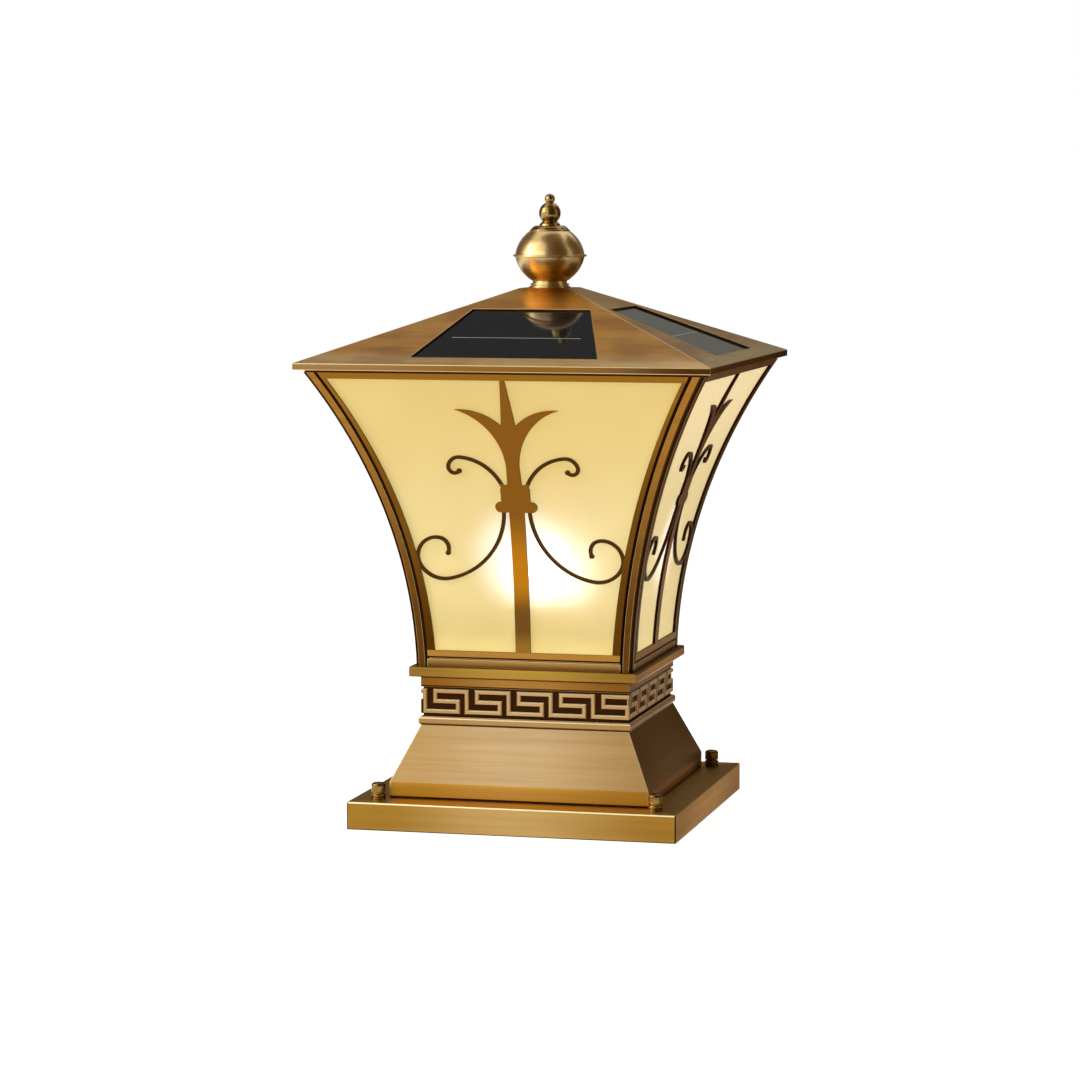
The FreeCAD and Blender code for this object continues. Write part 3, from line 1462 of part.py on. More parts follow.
def make_finial():
    bore = d.rod_radius + d.finial_gap
    step = d.collar_step
    foot = roof_head
    levels = [foot + step * share for share in (1, 1.5, 2.5, 3)]
    head = levels[-1] + step
    piece(turned("finial_collar", [
        (bore, foot),
        (d.collar_foot_radius, foot),
        (d.collar_foot_radius, levels[0]),
        (d.collar_waist_radius, levels[0]),
        (d.collar_waist_radius, levels[1]),
        (d.collar_ring_radius, levels[1]),
        (d.collar_ring_radius, levels[2]),
        (d.collar_top_radius, levels[2]),
        (d.collar_top_radius, head),
        (bore, head),
    ]))
    wall = d.bowl_wall
    rim = head + d.bowl_height
    flange_radius = d.bowl_rim_radius + d.bowl_flange
    lip = rim - d.bowl_flange_height
    inner_foot = head + wall
    piece(turned("finial_lower_bowl", [
        (bore, head),
        (d.bowl_foot_radius, head, d.bowl_round),
        (d.bowl_rim_radius, lip),
        (flange_radius, lip),
        (flange_radius, rim),
        (d.bowl_rim_radius - wall, rim, -(d.bowl_round - wall)),
        (d.bowl_foot_radius - wall, inner_foot),
        (bore, inner_foot),
    ]))
    bush_hole = bore - d.finial_gap + d.thread_gap
    piece(turned("finial_bush", [
        (bush_hole, inner_foot),
        (d.bush_radius, inner_foot),
        (d.bush_radius, inner_foot + d.bush_height),
        (bush_hole, inner_foot + d.bush_height),
    ]))
    dome_foot = rim + d.bowl_flange_height
    dome_head = dome_foot + d.dome_height
    piece(turned("finial_upper_bowl", [
        (d.bowl_rim_radius - wall, rim),
        (flange_radius, rim),
        (flange_radius, dome_foot),
        (d.bowl_rim_radius, dome_foot, d.dome_round),
        (d.dome_top_radius, dome_head),
        (bore, dome_head),
        (bore, dome_head - wall),
        (d.dome_top_radius - wall, dome_head - wall, -(d.dome_round - wall)),
    ]))
    rim_head = dome_head + d.top_rim_height
    shoulder_head = rim_head + d.top_shoulder_height
    foot_head = shoulder_head + d.top_foot_height
    neck_level = foot_head + d.top_neck_height
    onion_head = neck_level + d.onion_height
    onion_foot = (d.top_neck_radius, neck_level)
    stalk = (d.stalk_radius, onion_head)
    ball_centre = onion_head + root(d.ball_radius * d.ball_radius - d.stalk_radius * d.stalk_radius)
    piece(turned("finial_top", [
        (0, dome_head - d.spigot_length),
        (d.spigot_radius, dome_head - d.spigot_length),
        (d.spigot_radius, dome_head),
        (d.dome_top_radius, dome_head),
        (d.dome_top_radius, rim_head),
        (d.dome_top_radius - d.top_rim_inset, rim_head, d.top_shoulder_round),
        (d.top_shoulder_radius, shoulder_head),
        (d.top_foot_radius, shoulder_head),
        (d.top_foot_radius, foot_head),
        (*onion_foot, chord(onion_foot, stalk) * ONION_SHARE),
        (*stalk, d.ball_radius),
        (0, ball_centre + d.ball_radius),
    ]))


def build_all():
    make_base_box()
    make_anchors()
    make_tie_rods()
    make_skirt()
    make_neck()
    make_key_strips()
    make_tray()
    make_sills()
    make_posts()
    make_windows()
    make_top()
    make_holder()
    make_bulb()
    make_junction_box()
    make_internal_lead()
    make_roof()
    make_panels()
    make_soffit()
    make_light_module()
    make_battery()
    make_controller()
    make_roof_leads()
    make_finial()


def check_and_export():
    doc.recompute()
    for item in doc.Objects:
        if "Invalid" in item.State or "Error" in item.State:
            raise RuntimeError(f"{item.Name} failed: {item.State}")
    for item in pieces:
        shape = item.Shape
        if shape.isNull() or not shape.isValid() or not shape.Solids:
            raise RuntimeError(f"{item.Label} has no valid solid")
    os.makedirs(PARTS_FOLDER, exist_ok=True)
    for item in pieces:
        item.Shape.exportStep(f"{PARTS_FOLDER}/{item.Label}.step")
        limits = item.Shape.BoundBox
        print(f"{item.Label:24s} solids {len(item.Shape.Solids):2d} volume {item.Shape.Volume:10.1f} "
              f"z {limits.ZMin:7.2f} to {limits.ZMax:7.2f}")


build_all()
check_and_export()
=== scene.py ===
import math

import bmesh
import bpy
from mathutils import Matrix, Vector


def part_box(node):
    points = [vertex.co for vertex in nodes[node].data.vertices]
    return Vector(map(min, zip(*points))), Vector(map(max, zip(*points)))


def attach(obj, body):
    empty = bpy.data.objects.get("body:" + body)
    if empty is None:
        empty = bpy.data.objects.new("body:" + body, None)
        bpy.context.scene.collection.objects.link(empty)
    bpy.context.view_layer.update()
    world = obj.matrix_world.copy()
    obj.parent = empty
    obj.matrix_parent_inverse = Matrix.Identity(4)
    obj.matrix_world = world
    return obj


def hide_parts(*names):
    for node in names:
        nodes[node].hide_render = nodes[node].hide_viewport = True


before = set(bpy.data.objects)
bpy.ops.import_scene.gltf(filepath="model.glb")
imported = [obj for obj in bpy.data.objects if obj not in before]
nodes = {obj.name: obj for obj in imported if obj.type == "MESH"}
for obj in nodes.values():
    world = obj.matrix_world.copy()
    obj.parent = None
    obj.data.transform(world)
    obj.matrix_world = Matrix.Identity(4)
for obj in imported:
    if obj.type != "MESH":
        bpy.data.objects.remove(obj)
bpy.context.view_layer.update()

MM = 0.001
SIDES = ("front", "right", "back", "left")
CORNERS = ("front_right", "back_right", "back_left", "front_left")

# The flare of the four faces: one arc, seen from the side
FLARE_RADIUS = 432.5 * MM
FLARE_AXIS_OUT = 512.5 * MM
FLARE_AXIS_LEVEL = 102 * MM
# The grooves of the corner posts
GROOVE_DEPTH = 2.2 * MM
# The window opening: its inset from the flared faces, its levels, and how much it widens towards the roof
OPENING_INSET = 15.0 * MM
OPENING_FOOT = 126.3 * MM
OPENING_HEAD = 324.6 * MM
OPENING_SPREAD = 3.2 * MM
# The window frames' outer edges
FRAME_INSET = 8.7 * MM
FRAME_FOOT = 121.0 * MM
# The lower scrolls hang a little lower towards the rails
SCROLL_START = 10 * MM
SCROLL_DROP = 0.06
# The lily's stem with its collar and calyx, and the head of the upper scrolls
STEM_REACH = 6.8 * MM
COLLAR_FOOT = 228.8 * MM
COLLAR_HEAD = 236.6 * MM
CALYX_HEAD = 249.5 * MM
CALYX_BULGE = 4.2 * MM
SCROLL_HEAD = 271 * MM
# The neck's frieze and bead: how far the frieze lies inside the bead, and levels over the neck's foot
FRIEZE_INSET = 2.0 * MM
FRIEZE_FOOT = 5.9 * MM
FRIEZE_HEAD = 28 * MM
BEAD_HEAD = 6.3 * MM
# The key's bars are a little wider, and the key stands a little higher over the bead
KEY_SWELL = 0.35 * MM
KEY_LIFT = 0.55 * MM
KEY_SHRINK = 0.9 * MM
# The roof, outwards from its middle: the crown round the finial, the panels' recesses and the pale rim
CROWN_INNER = 34 * MM
CROWN_OUTER = 62 * MM
RECESS_REACH = 140 * MM
RIM_INNER = 126 * MM
RIM_OUTER = 143 * MM
# Between these levels the posts and the windows' rails darken downwards as painted shade
DUSK_HEAD = 310 * MM
DUSK_FOOT = 140 * MM
# The painted halo of the bulb's glow in the panes
BULB_LEVEL = 198 * MM
HALO_INNER = 11 * MM
HALO_OUTER = 51 * MM

# Levels of the pieces
plate_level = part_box("base_box")[1].z
neck_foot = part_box("neck_band")[0].z
tray_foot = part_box("tray")[0].z
sill_foot, sill_head = (end.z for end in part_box("sill_bars"))
key_foot, key_head = (end.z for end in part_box("key_strips"))

# Linear colours of the metal, from the dark hollows and painted shade to the painted highlights on edges
# and crests
HOLLOW = (0.060, 0.024, 0.006)
GROOVE = (0.020, 0.006, 0.001)
FRIEZE = (0.024, 0.008, 0.002)
GOLD = (0.48, 0.280, 0.080)
PALE = (0.460, 0.325, 0.168)
PALE_END = (0.380, 0.240, 0.098)
LILY = (0.225, 0.088, 0.0095)
SCROLL = (0.062, 0.027, 0.006)
# EDGE is scuffs and painted highlight, CREST and BOX_RIM are painted highlights, UNDERSIDE is painted
# shade
EDGE = (0.78, 0.56, 0.27)
CREST = (0.95, 0.74, 0.42)
UNDERSIDE = (0.150, 0.068, 0.020)
BOX_RIM = (1.0, 0.86, 0.52)
# Tints that darken a colour: tarnish, blotches, painted shade on the rails lower down, and brush strokes
TARNISH = (0.62, 0.50, 0.36)
BLOTCH = (0.55, 0.46, 0.36)
RAIL_DUSK = (0.40, 0.34, 0.28)
RAIL_STROKES = (0.70, 0.62, 0.5)


# Shader maths

class Wire:
    """A shader value; sums, differences and products add Math nodes."""

    def __init__(self, finish, socket):
        self.finish = finish
        self.socket = socket

    def maths(self, operation, *values):
        return self.finish.node("ShaderNodeMath", {"operation": operation}, dict(enumerate(values)))

    def __add__(self, other):
        return self.maths("ADD", self, other)

    def __sub__(self, other):
        return self.maths("SUBTRACT", self, other)

    def __rsub__(self, other):
        return self.maths("SUBTRACT", other, self)

    def __mul__(self, other):
        return self.maths("MULTIPLY", self, other)

    def __abs__(self):
        return self.maths("ABSOLUTE", self)

    def least(self, other):
        return self.maths("MINIMUM", self, other)

    def most(self, other):
        return self.maths("MAXIMUM", self, other)

    def root(self):
        return self.maths("SQRT", self)

    __radd__ = __add__


class Finish:
    """A material on one Principled shader."""

    def __init__(self, name, constants):
        self.material = bpy.data.materials.new(name)
        self.material.use_nodes = True
        self.tree = self.material.node_tree
        self.shader = self.tree.nodes["Principled BSDF"]
        self.coordinates = self.tree.nodes.new("ShaderNodeTexCoord")
        for title, value in constants.items():
            self.join(self.shader.inputs[title], value)

    def join(self, socket, value):
        if isinstance(value, Wire):
            self.tree.links.new(value.socket, socket)
        elif isinstance(value, tuple) and socket.type == "RGBA":
            socket.default_value = (*value, 1)
        else:
            socket.default_value = value

    def node(self, kind, settings, sockets, output=0):
        """Adds a node: its settings first, then the values or links of its sockets."""
        made = self.tree.nodes.new(kind)
        for title, value in settings.items():
            setattr(made, title, value)
        for title, value in sockets.items():
            self.join(made.inputs[title], value)
        return Wire(self, made.outputs[output])

    def paint(self, **sockets):
        """Joins values to the shader, each named with low lines for spaces."""
        for title, value in sockets.items():
            self.join(self.shader.inputs[title.replace("_", " ")], value)
        return self.material

    def place(self, scale=(1, 1, 1), offset=(0, 0, 0)):
        """The point on the object in metres, scaled and shifted."""
        start = Wire(self, self.coordinates.outputs["Object"])
        return self.node("ShaderNodeMapping", {}, {"Vector": start, "Scale": scale, "Location": offset})

    def part(self, vector, axis):
        return self.node("ShaderNodeSeparateXYZ", {}, {"Vector": vector}, axis)

    def off_middle(self, point):
        """How far a point lies beside the middle of its own side."""
        return abs(self.part(point, 0)).least(abs(self.part(point, 1)))

    def turn(self, axis):
        """How the surface turns along an axis, from -1 to 1."""
        return self.part(Wire(self, self.coordinates.outputs["Normal"]), axis)

    def facing(self, axis):
        """How far the surface turns along an axis either way, from 0 to 1."""
        return abs(self.turn(axis))

    def noise(self, vector, detail=3, roughness=0.55):
        sockets = {"Vector": vector, "Scale": 1, "Detail": detail, "Roughness": roughness}
        return self.node("ShaderNodeTexNoise", {}, sockets)

    def between(self, value, low, high):
        """Runs from 0 at low to 1 at high with soft ends."""
        settings = {"interpolation_type": "SMOOTHSTEP"}
        sockets = {"Value": value, "From Min": low, "From Max": high}
        return self.node("ShaderNodeMapRange", settings, sockets)

    def blend(self, share, first, second, mode="MIX"):
        settings = {"data_type": "RGBA", "blend_type": mode}
        return self.node("ShaderNodeMix", settings, {0: share, 6: first, 7: second}, 2)

    def tinted(self, share, colour, tint):
        """The colour, darkened or lifted by a tint to the share given."""
        return self.blend(share, colour, self.blend(1.0, colour, tint, "MULTIPLY"))

    def bump(self, height, strength, distance):
        sockets = {"Height": height, "Strength": strength, "Distance": distance}
        return self.node("ShaderNodeBump", {}, sockets)

    def scuffs_and_glints(self):
        """The mark left on the softened edges for scuffs and painted highlights, from 0 to 1."""
        return self.node("ShaderNodeAttribute", {"attribute_name": "scuffs_and_glints"}, {}, 2)


# Finishes

def brushed(name, middle, ends, rough=0.27, reach=110 * MM, depth=0.32, steep=1.0, edge=1.0, crest=0.0,
            satin=0.0, patches=0.0, top=None, crown=None, rim=None, fade=None, fall=None, flank=None,
            box=None, shadow_lines=()):
    """Antique plating over level-brushed sheet, paler in the middle of each side as a painted reflection.

    Reach is how far out the paler middle goes, depth how strongly the broad strokes darken, and steep
    how much finer the strokes are on walls. Edge paints the softened edges pale, as scuffs and painted
    highlights. With a crest, the upper sides of raised work get a painted highlight and its other flanks
    a painted shade. Satin dulls these painted highlights so that they catch diffuse light, and patches
    darken the sheet in soft blotches.

    Top has the colours of level faces, at the front and back and at the sides, as painted reflections.
    Crown and rim are the colours of the roof's middle and of its edge. Fade, fall and flank are tints of
    painted light and shade: fade darkens each side's right-hand end, fall what lies low and has the
    levels where it starts and ends, and flank the left and right sides.

    A box has its half width and its head: it gets a painted highlight along its upper edges at the front
    and back, and has open seams at its upright corners. Shadow lines are painted shadows in the gaps
    between parts, each with its foot and head level.
    """
    metal = Finish(name, {"Metallic": 1.0})
    point = metal.place()
    along_x = metal.part(point, 0)
    along_y = metal.part(point, 1)
    height = metal.part(point, 2)
    up = metal.turn(2)
    level = metal.between(abs(up), 0.96, 0.985)
    upright = 1 - level
    clouds = metal.noise(metal.place((11, 11, 14), (3.1, 1.7, 0.4)), 2, 0.5)
    off_middle = metal.off_middle(point)
    # Painted reflection: each side is paler towards its middle
    middle_sheen = metal.between(off_middle + clouds * (0.5 * reach), 1.2 * reach, 0.35 * reach)
    colour = metal.blend(middle_sheen, ends, middle)

    def strokes(slow, fast, detail):
        wall = metal.noise(metal.place((slow, slow, fast * steep)), detail)
        flat = metal.noise(metal.place((slow, fast, slow)), detail)
        return wall * upright + flat * level

    fine = strokes(16, 1500, 2)
    broad = strokes(6, 210, 3)
    # Level faces take painted reflection colours, set apart at the left and right sides
    if top:
        before, beside = top
        at_side = metal.between(abs(along_x) - abs(along_y), -2 * MM, 2 * MM)
        colour = metal.blend(level, colour, metal.blend(at_side, before, beside))
    if crown:
        out = (along_x * along_x + along_y * along_y).root()
        colour = metal.blend(metal.between(out, CROWN_OUTER, CROWN_INNER), colour, crown)
    if rim:
        far = abs(along_x).most(abs(along_y))
        colour = metal.blend(metal.between(far, RIM_INNER, RIM_OUTER), colour, rim)
    if patches:
        blotch = metal.between(metal.noise(metal.place((12, 12, 75), (0.7, 2.1, 0.2)), 2), 0.46, 0.62)
        colour = metal.tinted(blotch * patches, colour, BLOTCH)
    # Painted shade at each side's right-hand end
    if fade:
        rightwards = along_y * metal.turn(0) - along_x * metal.turn(1)
        colour = metal.tinted(metal.between(rightwards, 45 * MM, 135 * MM), colour, fade)
    # Painted shade lower down
    if fall:
        tint, start, end = fall
        colour = metal.tinted(metal.between(height, start, end), colour, tint)
    tarnish = metal.between(broad * 0.55 + clouds * 0.25 + fine * 0.2, 0.60, 0.36)
    colour = metal.tinted(tarnish * depth, colour, TARNISH)
    # Painted light and shade on the left and right sides
    if flank:
        colour = metal.tinted(metal.facing(0), colour, flank)
    # Scuffs on the softened edges, kept off edges that face down, painted pale as highlights too
    edge_scuffs_and_glints = metal.scuffs_and_glints() * metal.between(clouds, 0.2, 0.5) * metal.between(up, -0.45, -0.05) * edge
    colour = metal.blend(edge_scuffs_and_glints, colour, EDGE)
    metallic = 1 - edge_scuffs_and_glints * satin
    roughness = rough + fine * 0.08 + tarnish * 0.06
    # Painted highlight on the upper sides of raised work, painted shade on its flanks that do not face
    # out
    if crest:
        crest_highlight = metal.between(up, 0.12, 0.55) * crest
        outward = metal.facing(0).most(metal.facing(1))
        colour = metal.blend(metal.between(outward, 0.95, 0.75) * crest, colour, UNDERSIDE)
        colour = metal.blend(crest_highlight, colour, CREST)
        metallic = 1 - crest_highlight * satin
        roughness = roughness + crest_highlight * 0.25
    # Painted highlight along the box's upper edges, mostly at the front and back, and an open seam at
    # each upright corner
    if box:
        half, head = box
        rim_highlight = metal.between(height, head - 1.3 * MM, head - 0.9 * MM) * upright
        colour = metal.blend(rim_highlight * (1 - metal.facing(0) * 0.8), colour, BOX_RIM)
        seam = metal.between(off_middle, half - 1.0 * MM, half - 0.6 * MM) * upright
        colour = metal.blend(seam, colour, GROOVE)
    # Painted shadow lines in the gaps between parts
    for foot, head in shadow_lines:
        soft = 0.1 * MM
        shadow_line = metal.between(height, foot - soft, foot + soft) * metal.between(height, head + soft, head)
        colour = metal.blend(shadow_line, colour, GROOVE)
    normal = metal.bump(fine * 0.5 + broad * 0.5, 0.08, 0.2 * MM)
    return metal.paint(Base_Color=colour, Metallic=metallic, Roughness=roughness, Normal=normal)


def ironwork(name):
    """The sheet of a window: warm rails with painted shade lower down and painted shadow lines at their
    rim, an olive lily, scrolls left dark, and a stem with painted glow and shade from the bulb behind.
    """
    soft = 0.3 * MM
    dim_rail, warm_rail = (0.195, 0.082, 0.007), (0.275, 0.120, 0.013)
    head_rail, foot_rail = (0.275, 0.122, 0.012), (0.41, 0.20, 0.038)
    lit_stem, shaded_stem, foot_stem = (0.46, 0.180, 0.007), (0.150, 0.066, 0.012), (0.29, 0.140, 0.020)
    metal = Finish(name, {"Metallic": 1.0})
    point = metal.place()
    level = metal.part(point, 2)
    side = metal.off_middle(point)
    reach = FLARE_AXIS_OUT - side
    rise = level - FLARE_AXIS_LEVEL
    inset = (reach * reach + rise * rise).root() - FLARE_RADIUS
    spread = (level - OPENING_FOOT) * (OPENING_SPREAD / (OPENING_HEAD - OPENING_FOOT))

    def above(start):
        return metal.between(level, start - soft, start + soft)

    opening = above(OPENING_FOOT) * (1 - above(OPENING_HEAD))
    inside = metal.between(inset + spread, OPENING_INSET - 0.1 * MM, OPENING_INSET + 0.5 * MM) * opening
    collar = above(COLLAR_FOOT) * (1 - above(COLLAR_HEAD))
    calyx = above(COLLAR_FOOT) * (1 - above(CALYX_HEAD))
    beside = metal.between(side - calyx * CALYX_BULGE, STEM_REACH - soft, STEM_REACH + soft)
    scroll = beside * (1 - collar) * (1 - above(SCROLL_HEAD))
    strokes = metal.noise(metal.place((14, 14, 600)), 2)
    clouds = metal.noise(metal.place((14, 14, 9), (1.2, 0.5, 3.0)), 2)
    rail = metal.blend(metal.between(clouds, 0.35, 0.65), dim_rail, warm_rail)
    # Painted shade on the rails lower down
    rail = metal.tinted(metal.between(level, DUSK_HEAD, DUSK_FOOT), rail, RAIL_DUSK)
    rail = metal.blend(above(OPENING_HEAD), rail, head_rail)
    rail = metal.blend(1 - above(OPENING_FOOT), rail, foot_rail)
    # Painted shadow line below the frame's foot and along its outer edge
    within = metal.between(inset, FRAME_INSET + 0.5 * MM, FRAME_INSET + 0.9 * MM)
    rim = 1 - above(FRAME_FOOT + 1.0 * MM) * within
    rail = metal.blend(rim, rail, GROOVE)
    # Painted glow and shade on the stem, from the bulb behind it
    lit = metal.between(level, 230 * MM, 190 * MM) * metal.between(level, 154 * MM, 178 * MM)
    shaded = metal.between(level, 168 * MM, 150 * MM)
    at_foot = metal.between(level, 144 * MM, 128 * MM)
    stem = metal.blend(lit, LILY, lit_stem)
    stem = metal.blend(shaded, stem, shaded_stem)
    stem = metal.blend(at_foot, stem, foot_stem)
    colour = metal.blend(inside, rail, metal.blend(scroll, stem, SCROLL))
    colour = metal.tinted(strokes * 0.35, colour, RAIL_STROKES)
    # Scuffs and painted highlights on the softened edges, away from the opening and the shadow line
    colour = metal.blend(metal.scuffs_and_glints() * (1 - inside) * (1 - rim) * 0.6, colour, EDGE)
    return metal.paint(Base_Color=colour, Roughness=strokes * 0.1 + 0.27,
                       Normal=metal.bump(strokes, 0.08, 0.2 * MM))


def hollow(name, colour, edge):
    """Patina left dark where no cloth reaches, deepened as painted shade in hollows, grooves and cut
    edges.
    """
    metal = Finish(name, {"Metallic": 1.0})
    spots = metal.noise(metal.place((260, 260, 260)), 3)
    shade = metal.blend(spots, colour, tuple(1.9 * c for c in colour))
    # Scuffs and painted highlights on the softened edges
    shade = metal.blend(metal.scuffs_and_glints() * edge, shade, GOLD)
    return metal.paint(Base_Color=shade, Roughness=0.42 + spots * 0.15,
                       Normal=metal.bump(spots, 0.12, 0.2 * MM))


def turned_metal(name, body, dark, rough):
    """Lathe-turned metal with a soft cloth finish."""
    metal = Finish(name, {"Metallic": 1.0})
    rings = metal.noise(metal.place((5, 5, 1400)), 2)
    clouds = metal.noise(metal.place((60, 60, 60)), 3)
    depth = metal.between(rings * 0.15 + clouds * 0.85, 0.36, 0.62)
    colour = metal.blend(depth, dark, body)
    # Scuffs and painted highlights on the softened edges
    colour = metal.blend(metal.scuffs_and_glints() * 0.6, colour, EDGE)
    return metal.paint(Base_Color=colour, Roughness=rough + rings * 0.06,
                       Normal=metal.bump(rings, 0.03, 0.1 * MM))


def plain(name, colour, rough, metallic=0.0):
    """Moulded plastic, plated steel and the like, with a fine grain."""
    matter = Finish(name, {"Metallic": metallic})
    grains = matter.noise(matter.place((900, 900, 900)), 3)
    marks = matter.noise(matter.place((35, 35, 35)), 3)
    shade = matter.blend(marks, tuple(0.82 * c for c in colour), tuple(min(1, 1.12 * c) for c in colour))
    return matter.paint(Base_Color=shade, Roughness=rough + marks * 0.1 + grains * 0.04,
                        Normal=matter.bump(grains, 0.1, 0.1 * MM))


def frosted_pane(name):
    """Opal frosted glass with a painted glow; the bulb behind it shows through as a soft spot, partly
    through the glass and partly as a painted halo.
    """
    amber, cream = (0.400, 0.320, 0.088), (0.365, 0.315, 0.122)
    honey, foot_glow = (0.290, 0.248, 0.066), (0.44, 0.365, 0.100)
    cloud_glow, halo_glow = (0.365, 0.270, 0.075), (0.68, 0.70, 0.70)
    side_foot, side_head = (0.43, 0.37, 0.21), (0.58, 0.51, 0.37)
    glass = Finish(name, {"Transmission Weight": 0.25, "IOR": 1.2, "Emission Strength": 1.0})
    point = glass.place()
    height = glass.part(point, 2)
    grain = glass.noise(glass.place((1800, 1800, 1800)), 2)
    clouds = glass.noise(glass.place((9, 9, 7), (0.3, 0.9, 0.2)), 3)
    glow = glass.blend(glass.between(height + clouds * (60 * MM), 250 * MM, 340 * MM), cream, amber)
    glow = glass.blend(glass.between(height, 180 * MM, 130 * MM), glow, honey)
    glow = glass.blend(glass.between(height, 142 * MM, 127 * MM), glow, foot_glow)
    glow = glass.blend(glass.between(clouds, 0.45, 0.62) * 0.5, glow, cloud_glow)
    # Painted glow of the left and right panes
    side_glow = glass.blend(glass.between(height, 220 * MM, 320 * MM), side_foot, side_head)
    glow = glass.blend(glass.facing(0) * 0.7, glow, side_glow)
    side = glass.off_middle(point)
    rise = height - BULB_LEVEL
    spread = (side * side + rise * rise).root() + clouds * (12 * MM)
    # Painted halo of the bulb behind the pane
    glow = glass.blend(glass.between(spread, HALO_OUTER, HALO_INNER), glow, halo_glow)
    return glass.paint(Base_Color=(0.60, 0.48, 0.28), Roughness=0.58 + clouds * 0.06,
                       Emission_Color=glow, Normal=glass.bump(grain, 0.2, 0.1 * MM))


def dark_panel(name):
    """Clear gloss resin over near-black cells; the left and right slopes are a little greyer, a painted
    sheen.
    """
    cell = Finish(name, {"IOR": 1.5, "Specular IOR Level": 0.62})
    grain = cell.noise(cell.place((60, 60, 60)), 3)
    colour = cell.blend(grain, (0.0035, 0.004, 0.0045), (0.008, 0.009, 0.010))
    colour = cell.blend(cell.between(cell.facing(0), 0.2, 0.4), colour, (0.016, 0.018, 0.018))
    return cell.paint(Base_Color=colour, Roughness=0.045 + grain * 0.03)


def lit(name, colour, strength):
    """A light-coloured piece that shines."""
    glow = Finish(name, {"Emission Strength": strength, "Roughness": 0.4})
    haze = glow.noise(glow.place((40, 40, 40)), 2)
    return glow.paint(Base_Color=(0.9, 0.88, 0.82),
                      Emission_Color=glow.blend(haze, colour, tuple(0.92 * c for c in colour)))


# Painted shadow lines in the gaps between parts, each with its foot and head level; those at a piece's
# end reach past it
base_shadow_lines = [(-1 * MM, 0.5 * MM)]
skirt_shadow_lines = [(plate_level - 1 * MM, plate_level + 1.4 * MM)]
bead_shadow_lines = [(neck_foot - 1 * MM, neck_foot + 0.6 * MM)]
neck_shadow_lines = [(neck_foot + FRIEZE_HEAD, neck_foot + FRIEZE_HEAD + 0.8 * MM),
             (tray_foot - 1.3 * MM, tray_foot + 1 * MM)]
sill_shadow_lines = [(sill_head - 1.4 * MM, sill_head + 1 * MM)]

base_metal = brushed("antique_brass_base", (0.53, 0.33, 0.110), (0.35, 0.180, 0.026), satin=0.7,
                     top=((0.84, 0.52, 0.125), (0.56, 0.33, 0.075)), flank=(1.35, 1.38, 1.3),
                     box=(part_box("base_box")[1].x, plate_level), shadow_lines=base_shadow_lines)
# The skirt's slopes are paler as a painted reflection of the sky, its lip deeper as a painted reflection
# of the base's top
skirt_metal = brushed("antique_brass_skirt", PALE, PALE_END, 0.30, 95 * MM, satin=0.6, shadow_lines=skirt_shadow_lines)
lip_metal = brushed("antique_brass_lip", (0.46, 0.228, 0.038), (0.37, 0.170, 0.017), 0.27, 95 * MM,
                    satin=0.6, shadow_lines=skirt_shadow_lines)
neck_metal = brushed("antique_brass_neck", (0.40, 0.195, 0.038), (0.26, 0.105, 0.016), 0.30, 77 * MM,
                     shadow_lines=neck_shadow_lines)
tray_metal = brushed("antique_brass_tray", (0.42, 0.25, 0.040), (0.275, 0.150, 0.024), 0.25, 84 * MM,
                     flank=(1.5, 1.45, 1.7))
roof_metal = brushed("antique_brass_roof", (0.96, 0.470, 0.075), (0.80, 0.395, 0.080), 0.27, 150 * MM,
                     depth=0.6, steep=1.4, patches=0.6, crown=(0.74, 0.39, 0.050), rim=(1.0, 0.66, 0.28),
                     flank=(0.38, 0.45, 0.54))
eave_metal = brushed("antique_brass_eave", (0.29, 0.140, 0.026), (0.35, 0.205, 0.080), 0.27, 150 * MM,
                     edge=0.6, fade=(0.30, 0.19, 0.10))
post_metal = brushed("antique_brass_post", (0.37, 0.172, 0.028), (0.35, 0.160, 0.025), 0.28, 120 * MM,
                     satin=0.6, fall=((0.33, 0.27, 0.21), DUSK_HEAD, DUSK_FOOT))
sill_metal = brushed("antique_brass_sill", (0.46, 0.260, 0.075), (0.36, 0.190, 0.050), 0.28, 120 * MM,
                     fall=((0.36, 0.30, 0.24), sill_head - 1.6 * MM, sill_foot + 0.5 * MM),
                     shadow_lines=sill_shadow_lines)
iron_metal = ironwork("antique_brass_ironwork")
key_metal = brushed("antique_brass_key", (0.54, 0.35, 0.150), (0.46, 0.27, 0.10), 0.24, 77 * MM,
                    depth=0.3, crest=0.9, satin=0.75)
bead_metal = brushed("antique_brass_bead", (0.40, 0.245, 0.090), (0.37, 0.215, 0.075), 0.24, 77 * MM,
                     depth=0.3, crest=0.8, shadow_lines=bead_shadow_lines)
hollow_metal = hollow("dark_patina_and_shade", HOLLOW, 0.5)
groove_metal = hollow("groove_patina_and_shade", GROOVE, 0.3)
frieze_metal = hollow("frieze_patina_and_shade", FRIEZE, 0.3)
finial_metal = turned_metal("polished_antique_brass", (0.80, 0.58, 0.28), (0.66, 0.44, 0.17), 0.25)
finial_dark = turned_metal("finial_tip_brass", (0.42, 0.27, 0.095), (0.24, 0.135, 0.035), 0.20)
nut_metal = turned_metal("nut_brass", (0.31, 0.185, 0.048), (0.13, 0.068, 0.016), 0.18)
zinc = plain("zinc_plating", (0.55, 0.55, 0.53), 0.36, 1.0)
pane_glass = frosted_pane("frosted_glass")
panel_gloss = dark_panel("cell_glass")
busbar = plain("busbar_print", (0.38, 0.36, 0.30), 0.4, 0.6)
black_plastic = plain("black_plastic", (0.022, 0.022, 0.022), 0.5)
white_plastic = plain("holder_plastic", (0.80, 0.78, 0.70), 0.42)
board_mask = plain("board_mask", (0.72, 0.74, 0.70), 0.45)
